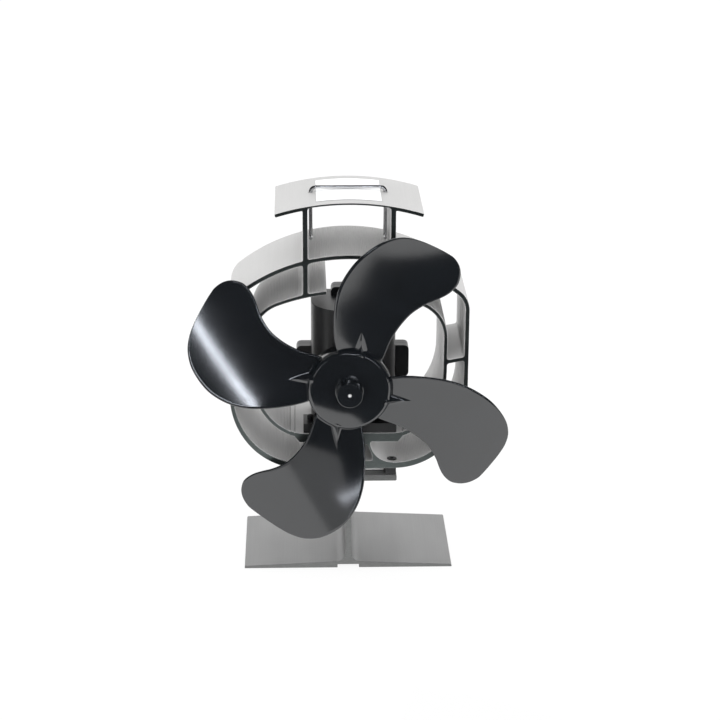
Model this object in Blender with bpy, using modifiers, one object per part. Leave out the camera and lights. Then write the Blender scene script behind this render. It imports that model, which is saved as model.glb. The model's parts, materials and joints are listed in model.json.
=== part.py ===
# Heat-powered stove fan: a thermoelectric module between a foot and a heat sink
# drives a small motor, whose four-bladed wheel turns in front of the heat sink.
# Metres, +Z up. The wheel faces -Y. The origin is the middle of the whole object's
# footprint, on the stove's surface. Positions below are measured from the front
# faces of the bracket and the heat sink; one empty carries them into the frame.

import math

import bmesh
import bpy
from mathutils import Matrix, Vector

# Bracket: foot, web and top plate of one extrusion
BASE_WIDTH = 0.118
BASE_DEPTH = 0.0675
BASE_HEIGHT = 0.0572
FOOT_EDGE = 0.0015
FOOT_ROOT = 0.0039
WEB_THICKNESS = 0.0034
WEB_FOOT_RADIUS = 0.005
WEB_TOP_RADIUS = 0.002
TOP_PLATE_MARGIN = 0.007
TOP_PLATE_THICKNESS = 0.0035
GROOVE_WIDTH = 0.0122
GROOVE_DEPTH = 0.002

# Bimetal strip in the foot's groove
STRIP_WIDTH = 0.0108
STRIP_THICKNESS = 0.0008
STRIP_FRONT_SETBACK = 0.008
STRIP_TAIL = 0.003
STRIP_RIVET_SETBACK = 0.0095
STRIP_SEAT_GAP = 0.0003
RIVET_RADIUS = 0.0012
RIVET_HEAD_RADIUS = 0.0019
RIVET_HEAD_HEIGHT = 0.0005
RIVET_HEAD_GAP = 0.0002
RIVET_SPACING = 0.0062
RIVET_DEPTH = 0.0018

# Thermoelectric module and its pads
MODULE_WIDTH = 0.040
MODULE_SETBACK = 0.0064
CERAMIC_THICKNESS = 0.0008
PELLET_HEIGHT = 0.0016
TAB_THICKNESS = 0.00025
PELLET_WIDTH = 0.0018
PELLETS_PER_SIDE = 6
PAD_THICKNESS = 0.0002
SEAL_WIDTH = 0.0016
FILM_GAP = 0.0001

# Heat sink: one extrusion with the roof, posts, rings, ribs, platform and pedestal
SINK_DEPTH = 0.057
SIDE_CELL_WIDTH = 0.0094
RING_HEIGHT = 0.1247
RING_CROWN_RADIUS = 0.098
RING_CORNER_RADIUS = 0.0145
RING_FLAT_MARGIN = 0.0014
RING_FOOT_RISE = 0.044
RING_WALL = 0.0024
RING_FLOOR = 0.0036
INNER_WIDTH = 0.108
INNER_RISE = 0.0188
INNER_HEIGHT = 0.0863
INNER_CROWN_RADIUS = 0.112
INNER_CORNER_RADIUS = 0.022
INNER_FLAT_WIDTH = 0.048
INNER_FOOT_RISE = 0.038
INNER_WALL = 0.0021
INNER_FLOOR = 0.0024
ARM_GAP = 0.0244
POST_SPACING = 0.0474
POST_THICKNESS = 0.0028
RIB_THICKNESS = 0.0022
RIB_SLOPE = 0.0018
RIB_DROP = 0.0598
ROOF_WIDTH = 0.0804
ROOF_RISE = 0.0290
ROOF_RADIUS = 0.135
ROOF_THICKNESS = 0.002
ROOF_MIDDLE_THICKNESS = 0.0011
PLATFORM_WIDTH = 0.055
PLATFORM_THICKNESS = 0.0052
PLATFORM_SHOULDER = 0.0606
LEG_FLARE_RADIUS = 0.0124
LEG_WALL = 0.0014
TUNNEL_SPREAD = 0.0027
TUNNEL_KNEE = 0.0032
TUNNEL_FLOOR_RISE = 0.0009
TUNNEL_ROOF = 0.0018
CELL_FILLET = 0.0014
EDGE_FILLET = 0.0008

# Clamp screws, bushes and side spacers
CLAMP_EDGE_INSET = 0.0026
CLAMP_SETBACK = 0.0053
CLAMP_RADIUS = 0.0015
CLAMP_HEAD_RADIUS = 0.0027
CLAMP_HEAD_HEIGHT = 0.0015
CLAMP_SOCKET_RADIUS = 0.0011
CLAMP_SOCKET_DEPTH = 0.0009
BUSH_RADIUS = 0.0023
BUSH_FLANGE_RADIUS = 0.0029
BUSH_FLANGE_HEIGHT = 0.0005
COUNTERBORE_DEPTH = 0.0019
SPACER_INNER_GAP = 0.0006
SPACER_OUTER_SETBACK = 0.0004
RUNNING_GAP = 0.00008

# Wire handle and blank label on the roof
WIRE_RADIUS = 0.00105
HANDLE_WIDTH = 0.041
HANDLE_BEND = 0.0032
HANDLE_FOOT = 0.0040
HANDLE_LIFT = 0.0225
HANDLE_HOLE_GAP = 0.00025
LABEL_WIDTH = 0.0352
LABEL_SETBACK = 0.007
LABEL_THICKNESS = 0.00015

# Motor axis and case
AXIS_RISE = 0.030
CASE_OFFSET = 0.003
CASE_WIDTH = 0.047
CASE_HEIGHT = 0.070
CASE_NOSE_REACH = 0.0194
CASE_NOSE_SETBACK = 0.0221
CASE_WALL = 0.0018
CASE_TOP_RADIUS = 0.002
EAR_SETBACK = 0.0339
EAR_DEPTH = 0.0048
EAR_REACH = 0.0083
EAR_HEIGHT = 0.0187
EAR_RADIUS = 0.003
TOP_EAR_WIDTH = 0.0246
TOP_EAR_RISE = 0.0042
SPLIT_GAP = 0.0002
FOOT_BAR_WIDTH = 0.0516
FOOT_BAR_OFFSET = 0.0007
FOOT_BAR_DEPTH = 0.0145
FOOT_BAR_HEIGHT = 0.0054
FOOT_BAR_SETBACK = 0.0003
NOSE_RECESS_RADIUS = 0.012
BULKHEAD_SETBACK = 0.0094
SEAT_GAP = 0.0003

# Screws of the case
SHELL_SCREW_RADIUS = 0.0011
SHELL_HEAD_RADIUS = 0.0019
SHELL_HEAD_HEIGHT = 0.0014
SHELL_SCREW_GRIP = 0.0032
FOOT_SCREW_RADIUS = 0.0012
FOOT_HEAD_RADIUS = 0.0017
FOOT_HEAD_HEIGHT = 0.0026
FOOT_SCREW_INSET = 0.0037
FOOT_SCREW_DEPTH = 0.0026
DRIVE_SLOT_WIDTH = 0.0006
DRIVE_SLOT_DEPTH = 0.0005

# Motor
CAN_RADIUS = 0.014
CAN_LENGTH = 0.022
CAN_WALL = 0.0008
CAN_BOSS_RADIUS = 0.0031
CAN_BOSS_LENGTH = 0.0018
SHAFT_RADIUS = 0.001
SHAFT_END_SETBACK = 0.0001
BEARING_RADIUS = 0.0024
BEARING_LENGTH = 0.0028
END_CAP_THICKNESS = 0.002
END_CAP_BOSS_LENGTH = 0.0024
END_CAP_BOSS_RADIUS = 0.0036
MAGNET_THICKNESS = 0.0028
MAGNET_LENGTH = 0.013
MAGNET_SPAN = 128.0
POLES = 3
CORE_RADIUS = 0.0094
CORE_LENGTH = 0.009
CORE_HUB_RADIUS = 0.0032
CORE_TOOTH_WIDTH = 0.0026
CORE_SHOE_THICKNESS = 0.0013
CORE_SHOE_SPAN = 96.0
COIL_THICKNESS = 0.0016
COIL_HEIGHT = 0.0032
COMMUTATOR_RADIUS = 0.0024
COMMUTATOR_LENGTH = 0.0024
COMMUTATOR_SLOT_DEPTH = 0.0005
COMMUTATOR_SLOT_ANGLE = 12.0
BRUSH_WIDTH = 0.0016
BRUSH_THICKNESS = 0.0004
TERMINAL_WIDTH = 0.002
TERMINAL_THICKNESS = 0.0005
TERMINAL_LENGTH = 0.0042
TERMINAL_DROP = 0.0114
TERMINAL_SPACING = 0.008
MOTOR_SCREW_SPACING = 0.017
MOTOR_SCREW_RADIUS = 0.0009
MOTOR_HEAD_RADIUS = 0.0017
MOTOR_HEAD_HEIGHT = 0.0012
MOTOR_SCREW_REACH = 0.0026

# Fan wheel: blade outline in shares of the tip radius, u outwards, t clockwise
TIP_RADIUS = 0.0919
WHEEL_SETBACK = -0.0175
BLADE_COUNT = 4
BLADE_THICKNESS = 0.0015
BLADE_RAKE = -0.237
BLADE_TWIST = 0.23
BLADE_CAMBER = 0.02
BLADE_WARP = 0.486
BLADE_MIDDLE_SHARE = 0.598
TRAILING_SHARES = (
    (0.185, -0.060), (0.248, -0.078), (0.326, -0.091), (0.413, -0.096), (0.500, -0.094),
    (0.588, -0.085), (0.675, -0.061), (0.756, -0.021), (0.832, 0.036), (0.892, 0.109),
    (0.934, 0.188), (0.950, 0.272), (0.939, 0.348), (0.910, 0.419), (0.873, 0.487),
    (0.831, 0.555), (0.797, 0.603),
)
LEADING_SHARES = (
    (0.131, 0.180), (0.201, 0.209), (0.283, 0.238), (0.354, 0.274), (0.414, 0.316),
    (0.464, 0.363), (0.501, 0.418), (0.527, 0.472), (0.544, 0.522), (0.564, 0.570),
    (0.590, 0.609), (0.622, 0.638), (0.659, 0.651), (0.696, 0.654), (0.733, 0.646),
    (0.764, 0.630), (0.785, 0.614),
)
BLADE_STATIONS = 20
BLADE_COLUMNS = 5
HUB_RADIUS = 0.0232
HUB_RIM_RADIUS = 0.0206
HUB_WALL = 0.0016
HUB_LIP = 0.0006
HUB_ROOT_SHARE = 0.8
HUB_FLARE_SHARES = ((0.58, 0.3), (0.88, 0.66))
HUB_RIM_SETBACK = 0.0035
HUB_DISH_DEPTH = 0.0038
HUB_SHOULDER = 0.0044
HUB_BACK_SETBACK = 0.0165
BOSS_RADIUS = 0.0071
BOSS_REACH = 0.0035
BOSS_CHAMFER = 0.0004
REAR_BOSS_RADIUS = 0.004
REAR_BOSS_SETBACK = 0.0155
GUSSET_LENGTH = 0.0125
GUSSET_WIDTH = 0.0044
GUSSET_HEIGHT = 0.0066
GUSSET_SHARE = 0.071
GUSSET_INSET = 0.001

# Leads from the module to the motor
LEAD_RADIUS = 0.0006
LEAD_SPACING = 0.004
LEAD_CLIMB_SHARES = ((0.2, 0.10, 0.35), (0.6, 0.40, 0.78), (1.0, 0.80, 1.0))
CLIP_WIDTH = 0.009
CLIP_DEPTH = 0.0042
CLIP_HEIGHT = 0.0044
GROMMET_RISE = 0.0141
GROMMET_RADIUS = 0.0028
GROMMET_FLANGE_RADIUS = 0.0038
GROMMET_FLANGE = 0.0012
GROMMET_BORE_RADIUS = 0.0017
GROMMET_LEAD_SPACING = 0.0016

# Shared by all cuts
OVERRUN = 0.001
ROUND_STEPS = 40
HUB_STEPS = 48
SMALL_STEPS = 14

# Sizes and places that follow from the sizes above
TOP_PLATE_WIDTH = MODULE_WIDTH + 2 * TOP_PLATE_MARGIN
CLAMP_SPACING = TOP_PLATE_WIDTH - 2 * CLAMP_EDGE_INSET
LEG_SPREAD = CLAMP_SPACING
TUNNEL_TOP_WIDTH = LEG_SPREAD - 2 * (LEG_FLARE_RADIUS + LEG_WALL)
TUNNEL_FOOT_WIDTH = TUNNEL_TOP_WIDTH + 2 * TUNNEL_SPREAD
RING_FLAT_WIDTH = CLAMP_SPACING + 2 * RING_FLAT_MARGIN
RING_WIDTH = INNER_WIDTH + 2 * (SIDE_CELL_WIDTH + RING_WALL)
RING_FOOT_REACH = (RING_WIDTH - RING_FLAT_WIDTH) / 2
INNER_FOOT_REACH = (INNER_WIDTH - INNER_FLAT_WIDTH) / 2
SINK_BOTTOM = (BASE_HEIGHT + 2 * PAD_THICKNESS + 2 * CERAMIC_THICKNESS + PELLET_HEIGHT
               + 6 * FILM_GAP)
RING_TOP = SINK_BOTTOM + RING_HEIGHT
FLOOR_TOP = SINK_BOTTOM + RING_FLOOR
INNER_BOTTOM = SINK_BOTTOM + INNER_RISE
INNER_TOP = INNER_BOTTOM + INNER_HEIGHT
PLATFORM_TOP = INNER_BOTTOM + INNER_FLOOR
PLATFORM_BOTTOM = PLATFORM_TOP - PLATFORM_THICKNESS
ROOF_TOP = RING_TOP + ROOF_RISE
ROOF_CENTRE = ROOF_TOP - ROOF_RADIUS
CASE_BOTTOM = PLATFORM_TOP + SEAT_GAP
CASE_TOP = CASE_BOTTOM + CASE_HEIGHT
AXIS_HEIGHT = CASE_BOTTOM + AXIS_RISE
GROMMET_HEIGHT = CASE_BOTTOM + GROMMET_RISE
LEAD_HEIGHT = (BASE_HEIGHT + SINK_BOTTOM) / 2
MIDDLE = SINK_DEPTH / 2
MODULE_MIDDLE = MODULE_SETBACK + MODULE_WIDTH / 2
MODULE_BACK = MODULE_SETBACK + MODULE_WIDTH
SPLIT_FRONT = EAR_SETBACK + EAR_DEPTH
REAR_FRONT = SPLIT_FRONT + SPLIT_GAP
REAR_BACK = REAR_FRONT + EAR_DEPTH
MOTOR_FRONT = BULKHEAD_SETBACK + CASE_WALL + SEAT_GAP
MOTOR_BACK = MOTOR_FRONT + CAN_LENGTH
MAGNET_FRONT = MOTOR_FRONT + 2 * MOTOR_SCREW_REACH


def blade_depth(u, t):
    """How far behind the wheel's plane the blade's middle surface lies."""
    out = u - BLADE_MIDDLE_SHARE * TIP_RADIUS
    slope = BLADE_RAKE * out + BLADE_TWIST * t
    return slope + (BLADE_CAMBER * t * t + BLADE_WARP * t * out) / TIP_RADIUS


def blade_reach():
    """How far the blades stand out in front of the wheel's plane."""
    edge = [(u * TIP_RADIUS, t * TIP_RADIUS) for u, t in TRAILING_SHARES + LEADING_SHARES]
    lean = math.hypot(1, BLADE_RAKE, BLADE_TWIST)
    return -min(blade_depth(u, t) for u, t in edge) + BLADE_THICKNESS / 2 / lean


FRONT_REACH = blade_reach() - WHEEL_SETBACK
FRONT_Y = (FRONT_REACH - BASE_DEPTH) / 2


# Scene, collections and materials

for old in list(bpy.data.objects):
    bpy.data.objects.remove(old, do_unlink=True)

PARTS = bpy.data.collections.new("stove_fan")
CUTTERS = bpy.data.collections.new("cutters")
bpy.context.scene.collection.children.link(PARTS)
bpy.context.scene.collection.children.link(CUTTERS)

FRAME = bpy.data.objects.new("frame", None)
FRAME.location = (0, FRONT_Y, 0)
PARTS.objects.link(FRAME)


def material(name, colour, metallic, roughness):
    made = bpy.data.materials.new(name)
    made.use_nodes = True
    shader = made.node_tree.nodes["Principled BSDF"]
    shader.inputs["Base Color"].default_value = (*colour, 1.0)
    shader.inputs["Metallic"].default_value = metallic
    shader.inputs["Roughness"].default_value = roughness
    made.diffuse_color = (*colour, 1.0)
    return made


ANODISED = material("anodised_aluminium", (0.44, 0.45, 0.44), 0.9, 0.35)
BRACKET_GREY = material("bracket_aluminium", (0.37, 0.37, 0.37), 0.9, 0.38)
BLACK_PLASTIC = material("black_plastic", (0.012, 0.013, 0.014), 0.0, 0.38)
WHEEL_BLACK = material("wheel_plastic", (0.011, 0.013, 0.015), 0.0, 0.30)
STEEL = material("steel", (0.55, 0.55, 0.56), 1.0, 0.25)
BLACK_STEEL = material("black_steel", (0.02, 0.02, 0.02), 0.8, 0.40)
CERAMIC = material("white_ceramic", (0.82, 0.82, 0.80), 0.0, 0.45)
GRAPHITE = material("graphite", (0.04, 0.04, 0.045), 0.2, 0.50)
SEALANT = material("green_sealant", (0.03, 0.06, 0.05), 0.0, 0.55)
TELLURIDE = material("telluride", (0.30, 0.30, 0.33), 0.9, 0.40)
BRASS = material("brass", (0.70, 0.50, 0.22), 1.0, 0.30)
COPPER = material("copper", (0.72, 0.33, 0.18), 1.0, 0.35)
FERRITE = material("ferrite", (0.05, 0.05, 0.055), 0.3, 0.60)
BRONZE = material("bronze", (0.45, 0.30, 0.14), 1.0, 0.40)
NYLON = material("white_nylon", (0.75, 0.74, 0.70), 0.0, 0.50)
RED_SLEEVE = material("red_sleeve", (0.55, 0.03, 0.02), 0.0, 0.45)
BLACK_SLEEVE = material("black_sleeve", (0.012, 0.012, 0.012), 0.0, 0.45)
BLACK_RUBBER = material("black_rubber", (0.015, 0.015, 0.015), 0.0, 0.70)
LABEL_WHITE = material("label_white", (0.80, 0.81, 0.82), 0.0, 0.35)


# Small tools for shapes

def place(obj, finish=None):
    """Put an object among the parts, or among the cutters when it has no finish."""
    obj.parent = FRAME
    if finish is None:
        obj.hide_render = True
        obj.display_type = "WIRE"
        CUTTERS.objects.link(obj)
    else:
        obj.data.materials.append(finish)
        PARTS.objects.link(obj)
    return obj


def smooth(mesh, angle=35.0):
    mesh.shade_smooth()
    mesh.set_sharp_from_angle(angle=math.radians(angle))


def mesh_object(name, shape, finish=None, location=(0, 0, 0), rotation=(0, 0, 0)):
    """Turn a bmesh into an object of its own."""
    bmesh.ops.recalc_face_normals(shape, faces=shape.faces)
    mesh = bpy.data.meshes.new(name)
    shape.to_mesh(mesh)
    shape.free()
    smooth(mesh)
    obj = bpy.data.objects.new(name, mesh)
    obj.location = location
    obj.rotation_euler = rotation
    return place(obj, finish)


def add_box(shape, low, high):
    """Add a block between two corners to a bmesh."""
    size = [b - a for a, b in zip(low, high)]
    middle = [(a + b) / 2 for a, b in zip(low, high)]
    made = bmesh.ops.create_cube(shape, size=1)
    bmesh.ops.scale(shape, vec=size, verts=made["verts"])
    bmesh.ops.translate(shape, vec=middle, verts=made["verts"])
    return made["verts"]


TURN = {"x": Matrix.Rotation(math.pi / 2, 4, "Y"), "y": Matrix.Rotation(math.pi / 2, 4, "X"),
        "z": Matrix.Identity(4)}


def add_rod(shape, radius, start, end, axis, steps=SMALL_STEPS, tip=None):
    """Add a cylinder or cone to a bmesh, from one end point to the other along an axis."""
    middle = [(a + b) / 2 for a, b in zip(start, end)]
    length = sum(abs(b - a) for a, b in zip(start, end))
    made = bmesh.ops.create_cone(shape, cap_ends=True, segments=steps, radius1=radius,
                                 radius2=radius if tip is None else tip, depth=length,
                                 matrix=Matrix.Translation(middle) @ TURN[axis])
    return made["verts"]


def box(name, low, high, finish=None):
    shape = bmesh.new()
    add_box(shape, low, high)
    return mesh_object(name, shape, finish)


def outline_curve(name, outlines, depth):
    """A flat 2D curve with holes, thickened evenly about its own plane."""
    curve = bpy.data.curves.new(name, "CURVE")
    curve.dimensions = "2D"
    curve.fill_mode = "BOTH"
    curve.extrude = depth / 2
    for outline in outlines:
        kept = cleared(outline)
        spline = curve.splines.new("POLY")
        spline.points.add(len(kept) - 1)
        for point, (a, b) in zip(spline.points, kept):
            point.co = (*FILL_TURN @ Vector((a, b, 0)), 1)
        spline.use_cyclic_u = True
    return curve


def cleared(outline):
    """Drop points that repeat their neighbour or lie in the middle of a straight edge."""
    kept = [p for p, q in zip(outline, outline[-1:] + outline[:-1]) if math.dist(p, q) > WELD]
    size = len(kept)
    bent = []
    for i in range(size):
        a, b, c = kept[i - 1], kept[i], kept[(i + 1) % size]
        area = (b[0] - a[0]) * (c[1] - a[1]) - (b[1] - a[1]) * (c[0] - a[0])
        if abs(area) > WELD / 20 * math.dist(a, c):
            bent.append(b)
    return bent


def extruded(name, outlines, depth, location, rotation=(0, 0, 0), finish=None):
    """Extrude flat outlines, welded into a mesh that other pieces can cut.

    The outline is filled at a slant, where no two level edges lie on one line."""
    curve = bpy.data.objects.new(name + "_outline", outline_curve(name, outlines, depth))
    bpy.context.scene.collection.objects.link(curve)
    bpy.context.view_layer.update()
    graph = bpy.context.evaluated_depsgraph_get()
    mesh = bpy.data.meshes.new_from_object(curve.evaluated_get(graph))
    bpy.data.objects.remove(curve, do_unlink=True)
    shape = bmesh.new()
    shape.from_mesh(mesh)
    bpy.data.meshes.remove(mesh)
    bmesh.ops.remove_doubles(shape, verts=shape.verts, dist=WELD)
    bmesh.ops.transform(shape, matrix=FILL_TURN.inverted().to_4x4(), verts=shape.verts)
    return mesh_object(name, shape, finish, location, rotation)


FILL_TURN = Matrix.Rotation(math.radians(17), 3, "Z")
WELD = RUNNING_GAP / 20
UPRIGHT = (math.pi / 2, 0, 0)


def front_view(name, outlines, near, far, finish=None, centre=0.0):
    """Extrude outlines drawn in X and Z from one depth to another."""
    where = (centre, (near + far) / 2, 0)
    return extruded(name, outlines, far - near, where, UPRIGHT, finish)


def plan_view(name, outlines, low, high, finish=None, centre=0.0):
    """Extrude outlines drawn in X and Y from one height to another."""
    where = (centre, 0, (low + high) / 2)
    return extruded(name, outlines, high - low, where, finish=finish)


def turned(name, profile, location, finish=None, steps=ROUND_STEPS, upright=False):
    """Turn a profile of radius and place along the axis, which is -Y, or +Z when upright.

    A profile that starts and ends on the axis stays open there, any other one is closed."""
    shape = bmesh.new()
    points = [shape.verts.new((radius, 0, along)) for radius, along in profile]
    ahead = points[1:] + points[:1]
    if profile[0][0] == 0 and profile[-1][0] == 0:
        points.pop()
    for first, second in zip(points, ahead):
        shape.edges.new((first, second))
    mesh = bpy.data.meshes.new(name)
    shape.to_mesh(mesh)
    shape.free()
    obj = bpy.data.objects.new(name, mesh)
    obj.location = location
    obj.rotation_euler = (0, 0, 0) if upright else UPRIGHT
    screw = obj.modifiers.new("turn", "SCREW")
    screw.axis = "Z"
    screw.steps = steps
    screw.render_steps = steps
    screw.use_merge_vertices = True
    screw.merge_threshold = WELD
    screw.use_smooth_shade = False
    return place(obj, finish)


def boolean(obj, other, operation="DIFFERENCE", solver="EXACT"):
    change = obj.modifiers.new(other.name, "BOOLEAN")
    change.operation = operation
    change.solver = solver
    change.object = other
    return obj


def round_edges(obj, wanted, radius, segments=3):
    """Round the edges that a test on their two end points picks."""
    shape = bmesh.new()
    shape.from_mesh(obj.data)
    weight = shape.edges.layers.float.get("bevel_weight_edge")
    if weight is None:
        weight = shape.edges.layers.float.new("bevel_weight_edge")
    for edge in shape.edges:
        flat = len(edge.link_faces) == 2 and edge.calc_face_angle() < math.radians(30)
        if not flat and wanted(edge.verts[0].co, edge.verts[1].co):
            edge[weight] = 1.0
    shape.to_mesh(obj.data)
    shape.free()
    bevel = obj.modifiers.new("edge_radius", "BEVEL")
    bevel.limit_method = "WEIGHT"
    bevel.width = radius
    bevel.segments = segments
    return obj


# Small tools for outlines

def arc(centre_x, centre_z, reach, rise, start, end, count):
    """Points of a round or elliptical arc between two angles in degrees."""
    points = []
    for step in range(count + 1):
        angle = math.radians(start + (end - start) * step / count)
        points.append((centre_x + reach * math.cos(angle), centre_z + rise * math.sin(angle)))
    return points


def mirrored(half):
    """Close a right half that starts and ends on the middle line."""
    return half + [(-x, z) for x, z in reversed(half) if x > WELD]


def flipped(outline):
    return [(-x, z) for x, z in reversed(outline)]


def crossing(path, axis, value):
    """Where a path first passes a value of x (axis 0) or z (axis 1)."""
    for index, (a, b) in enumerate(zip(path, path[1:])):
        if (a[axis] - value) * (b[axis] - value) <= 0 and a[axis] != b[axis]:
            share = (value - a[axis]) / (b[axis] - a[axis])
            return index, (a[0] + share * (b[0] - a[0]), a[1] + share * (b[1] - a[1]))
    return len(path) - 1, path[-1]


def stretch(path, first=None, last=None):
    """The part of a path between two crossings, each an axis and a value."""
    start, start_point = crossing(path, *first) if first else (0, path[0])
    end, end_point = crossing(path, *last) if last else (len(path) - 2, path[-1])
    return [start_point] + path[start + 1:end + 1] + [end_point]


def softened(outline, corners, radius, count=3):
    """Round the named corners of a closed outline by a small curve."""
    size = len(outline)
    sides = [math.dist(outline[i], outline[(i + 1) % size]) for i in range(size)]

    def walk(index, step):
        left = radius
        here = index
        while True:
            side = sides[here if step > 0 else here - 1]
            there = (here + step) % size
            if side >= left:
                share = left / side
                a, b = outline[here], outline[there]
                return (a[0] + share * (b[0] - a[0]), a[1] + share * (b[1] - a[1])), passed
            left -= side
            here = there
            passed.add(here)

    dropped = set()
    curves = {}
    for corner in corners:
        index = min(range(size), key=lambda i: math.dist(outline[i], corner))
        passed = set()
        before, _ = walk(index, -1)
        after, _ = walk(index, 1)
        dropped |= passed
        curves[index] = [tuple((1 - s) ** 2 * p + 2 * s * (1 - s) * q + s * s * r
                               for p, q, r in zip(before, outline[index], after))
                         for s in (step / count for step in range(count + 1))]
    rounded = []
    for index, point in enumerate(outline):
        if index in curves:
            rounded += curves[index]
        elif index not in dropped:
            rounded.append(point)
    return rounded


def ring_path(half_width, top, bottom, crown, corner, reach, rise):
    """Right half of a ring: crown arc, corner arc, straight side, elliptical foot."""
    centre = top - crown
    corner_x = half_width - corner
    corner_z = centre + math.sqrt((crown - corner) ** 2 - corner_x ** 2)
    turn = math.degrees(math.atan2(corner_z - centre, corner_x))
    path = arc(0, centre, crown, crown, 90, turn, 11)
    path += arc(corner_x, corner_z, corner, corner, turn, 0, 6)[1:]
    path += arc(half_width - reach, bottom + rise, reach, rise, 0, -90, 13)
    return path + [(0, bottom)]


# Bracket and bimetal strip

def bracket_outline():
    edge = BASE_WIDTH / 2
    web = WEB_THICKNESS / 2
    plate = TOP_PLATE_WIDTH / 2
    plate_bottom = BASE_HEIGHT - TOP_PLATE_THICKNESS
    groove = GROOVE_WIDTH / 2
    half = [(0, GROOVE_DEPTH), (groove, GROOVE_DEPTH), (groove, 0), (edge, 0), (edge, FOOT_EDGE)]
    half += arc(web + WEB_FOOT_RADIUS, FOOT_ROOT + WEB_FOOT_RADIUS, WEB_FOOT_RADIUS,
                WEB_FOOT_RADIUS, 270, 180, 6)
    half += arc(web + WEB_TOP_RADIUS, plate_bottom - WEB_TOP_RADIUS, WEB_TOP_RADIUS,
                WEB_TOP_RADIUS, 180, 90, 4)
    half += [(plate, plate_bottom), (plate, BASE_HEIGHT), (0, BASE_HEIGHT)]
    corners = [(sign * x, z) for sign in (1, -1)
               for x, z in ((edge, FOOT_EDGE), (plate, plate_bottom), (plate, BASE_HEIGHT))]
    return softened(mirrored(half), corners, EDGE_FILLET, 3)


def clamp_places():
    """Centres of the four clamp screws, in X and Y."""
    return [(sign * CLAMP_SPACING / 2, depth) for sign in (-1, 1)
            for depth in (CLAMP_SETBACK, SINK_DEPTH - CLAMP_SETBACK)]


def rivet_places():
    return [(sign * RIVET_SPACING / 2, BASE_DEPTH - STRIP_RIVET_SETBACK) for sign in (-1, 1)]


def rods(name, places, radius, low, high, steps=SMALL_STEPS):
    """Upright rods that cut holes at places given in X and Y."""
    shape = bmesh.new()
    for x, y in places:
        add_rod(shape, radius, (x, y, low), (x, y, high), "z", steps)
    return mesh_object(name, shape)


def build_bracket():
    bracket = front_view("base_bracket", [bracket_outline()], 0, BASE_DEPTH, BRACKET_GREY)
    holes = rods("bracket_clamp_holes", clamp_places(), CLAMP_RADIUS + RUNNING_GAP,
                 BASE_HEIGHT - TOP_PLATE_THICKNESS - OVERRUN, BASE_HEIGHT + OVERRUN)
    boolean(bracket, holes)
    sockets = rods("bracket_rivet_holes", rivet_places(), RIVET_RADIUS + RUNNING_GAP,
                   GROOVE_DEPTH - OVERRUN, GROOVE_DEPTH + RIVET_DEPTH)
    boolean(bracket, sockets)

    strip_top = GROOVE_DEPTH - STRIP_SEAT_GAP
    strip_bottom = strip_top - STRIP_THICKNESS
    pivot = BASE_DEPTH - STRIP_RIVET_SETBACK
    middle = (strip_top + strip_bottom) / 2
    shape = bmesh.new()
    add_box(shape, (-STRIP_WIDTH / 2, STRIP_FRONT_SETBACK - pivot, -STRIP_THICKNESS / 2),
            (STRIP_WIDTH / 2, STRIP_TAIL, STRIP_THICKNESS / 2))
    strip = mesh_object("bimetal_strip", shape, BRONZE, (0, pivot, middle))
    holes = rods("strip_rivet_holes", rivet_places(), RIVET_RADIUS + 2 * RUNNING_GAP,
                 strip_bottom - OVERRUN, strip_top + OVERRUN)
    boolean(strip, holes)

    seat = strip_bottom - RIVET_HEAD_GAP
    top = GROOVE_DEPTH + RIVET_DEPTH - FILM_GAP
    profile = ((0, top), (RIVET_RADIUS, top), (RIVET_RADIUS, seat), (RIVET_HEAD_RADIUS, seat),
               (RIVET_HEAD_RADIUS, seat - RIVET_HEAD_HEIGHT / 2),
               (RIVET_RADIUS, seat - RIVET_HEAD_HEIGHT), (0, seat - RIVET_HEAD_HEIGHT))
    for side, (x, y) in zip(("left", "right"), rivet_places()):
        turned("bimetal_rivet_" + side, profile, (x, y, 0), STEEL, SMALL_STEPS, upright=True)


# Thermoelectric module, pads, spacers and clamp screws

def element_row(level):
    """One row of pellets joined in series by tabs, as a square wave seen from the front."""
    half = PELLET_WIDTH / 2
    high = level + PELLET_HEIGHT
    upper = []
    lower = []
    for column in range(PELLETS_PER_SIDE):
        x = element_place(column)
        ahead = element_place(column + 1)
        if column % 2 == 0:
            step = level + PELLET_HEIGHT - TAB_THICKNESS
            lower += [(x - half, level), (x + half, level)]
            if column + 1 < PELLETS_PER_SIDE:
                lower += [(x + half, step), (ahead - half, step)]
            upper += [(x - half, high)]
        else:
            step = level + TAB_THICKNESS
            upper += [(x + half, high)]
            if column + 1 < PELLETS_PER_SIDE:
                upper += [(x + half, step), (ahead - half, step)]
                lower += [(x - half, level)]
            else:
                lower += [(x - half, level), (x + half, level)]
    return upper + list(reversed(lower))


def element_place(index):
    pitch = (MODULE_WIDTH - 2 * SEAL_WIDTH - PELLET_WIDTH) / PELLETS_PER_SIDE
    return (index - (PELLETS_PER_SIDE - 1) / 2) * pitch


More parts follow.
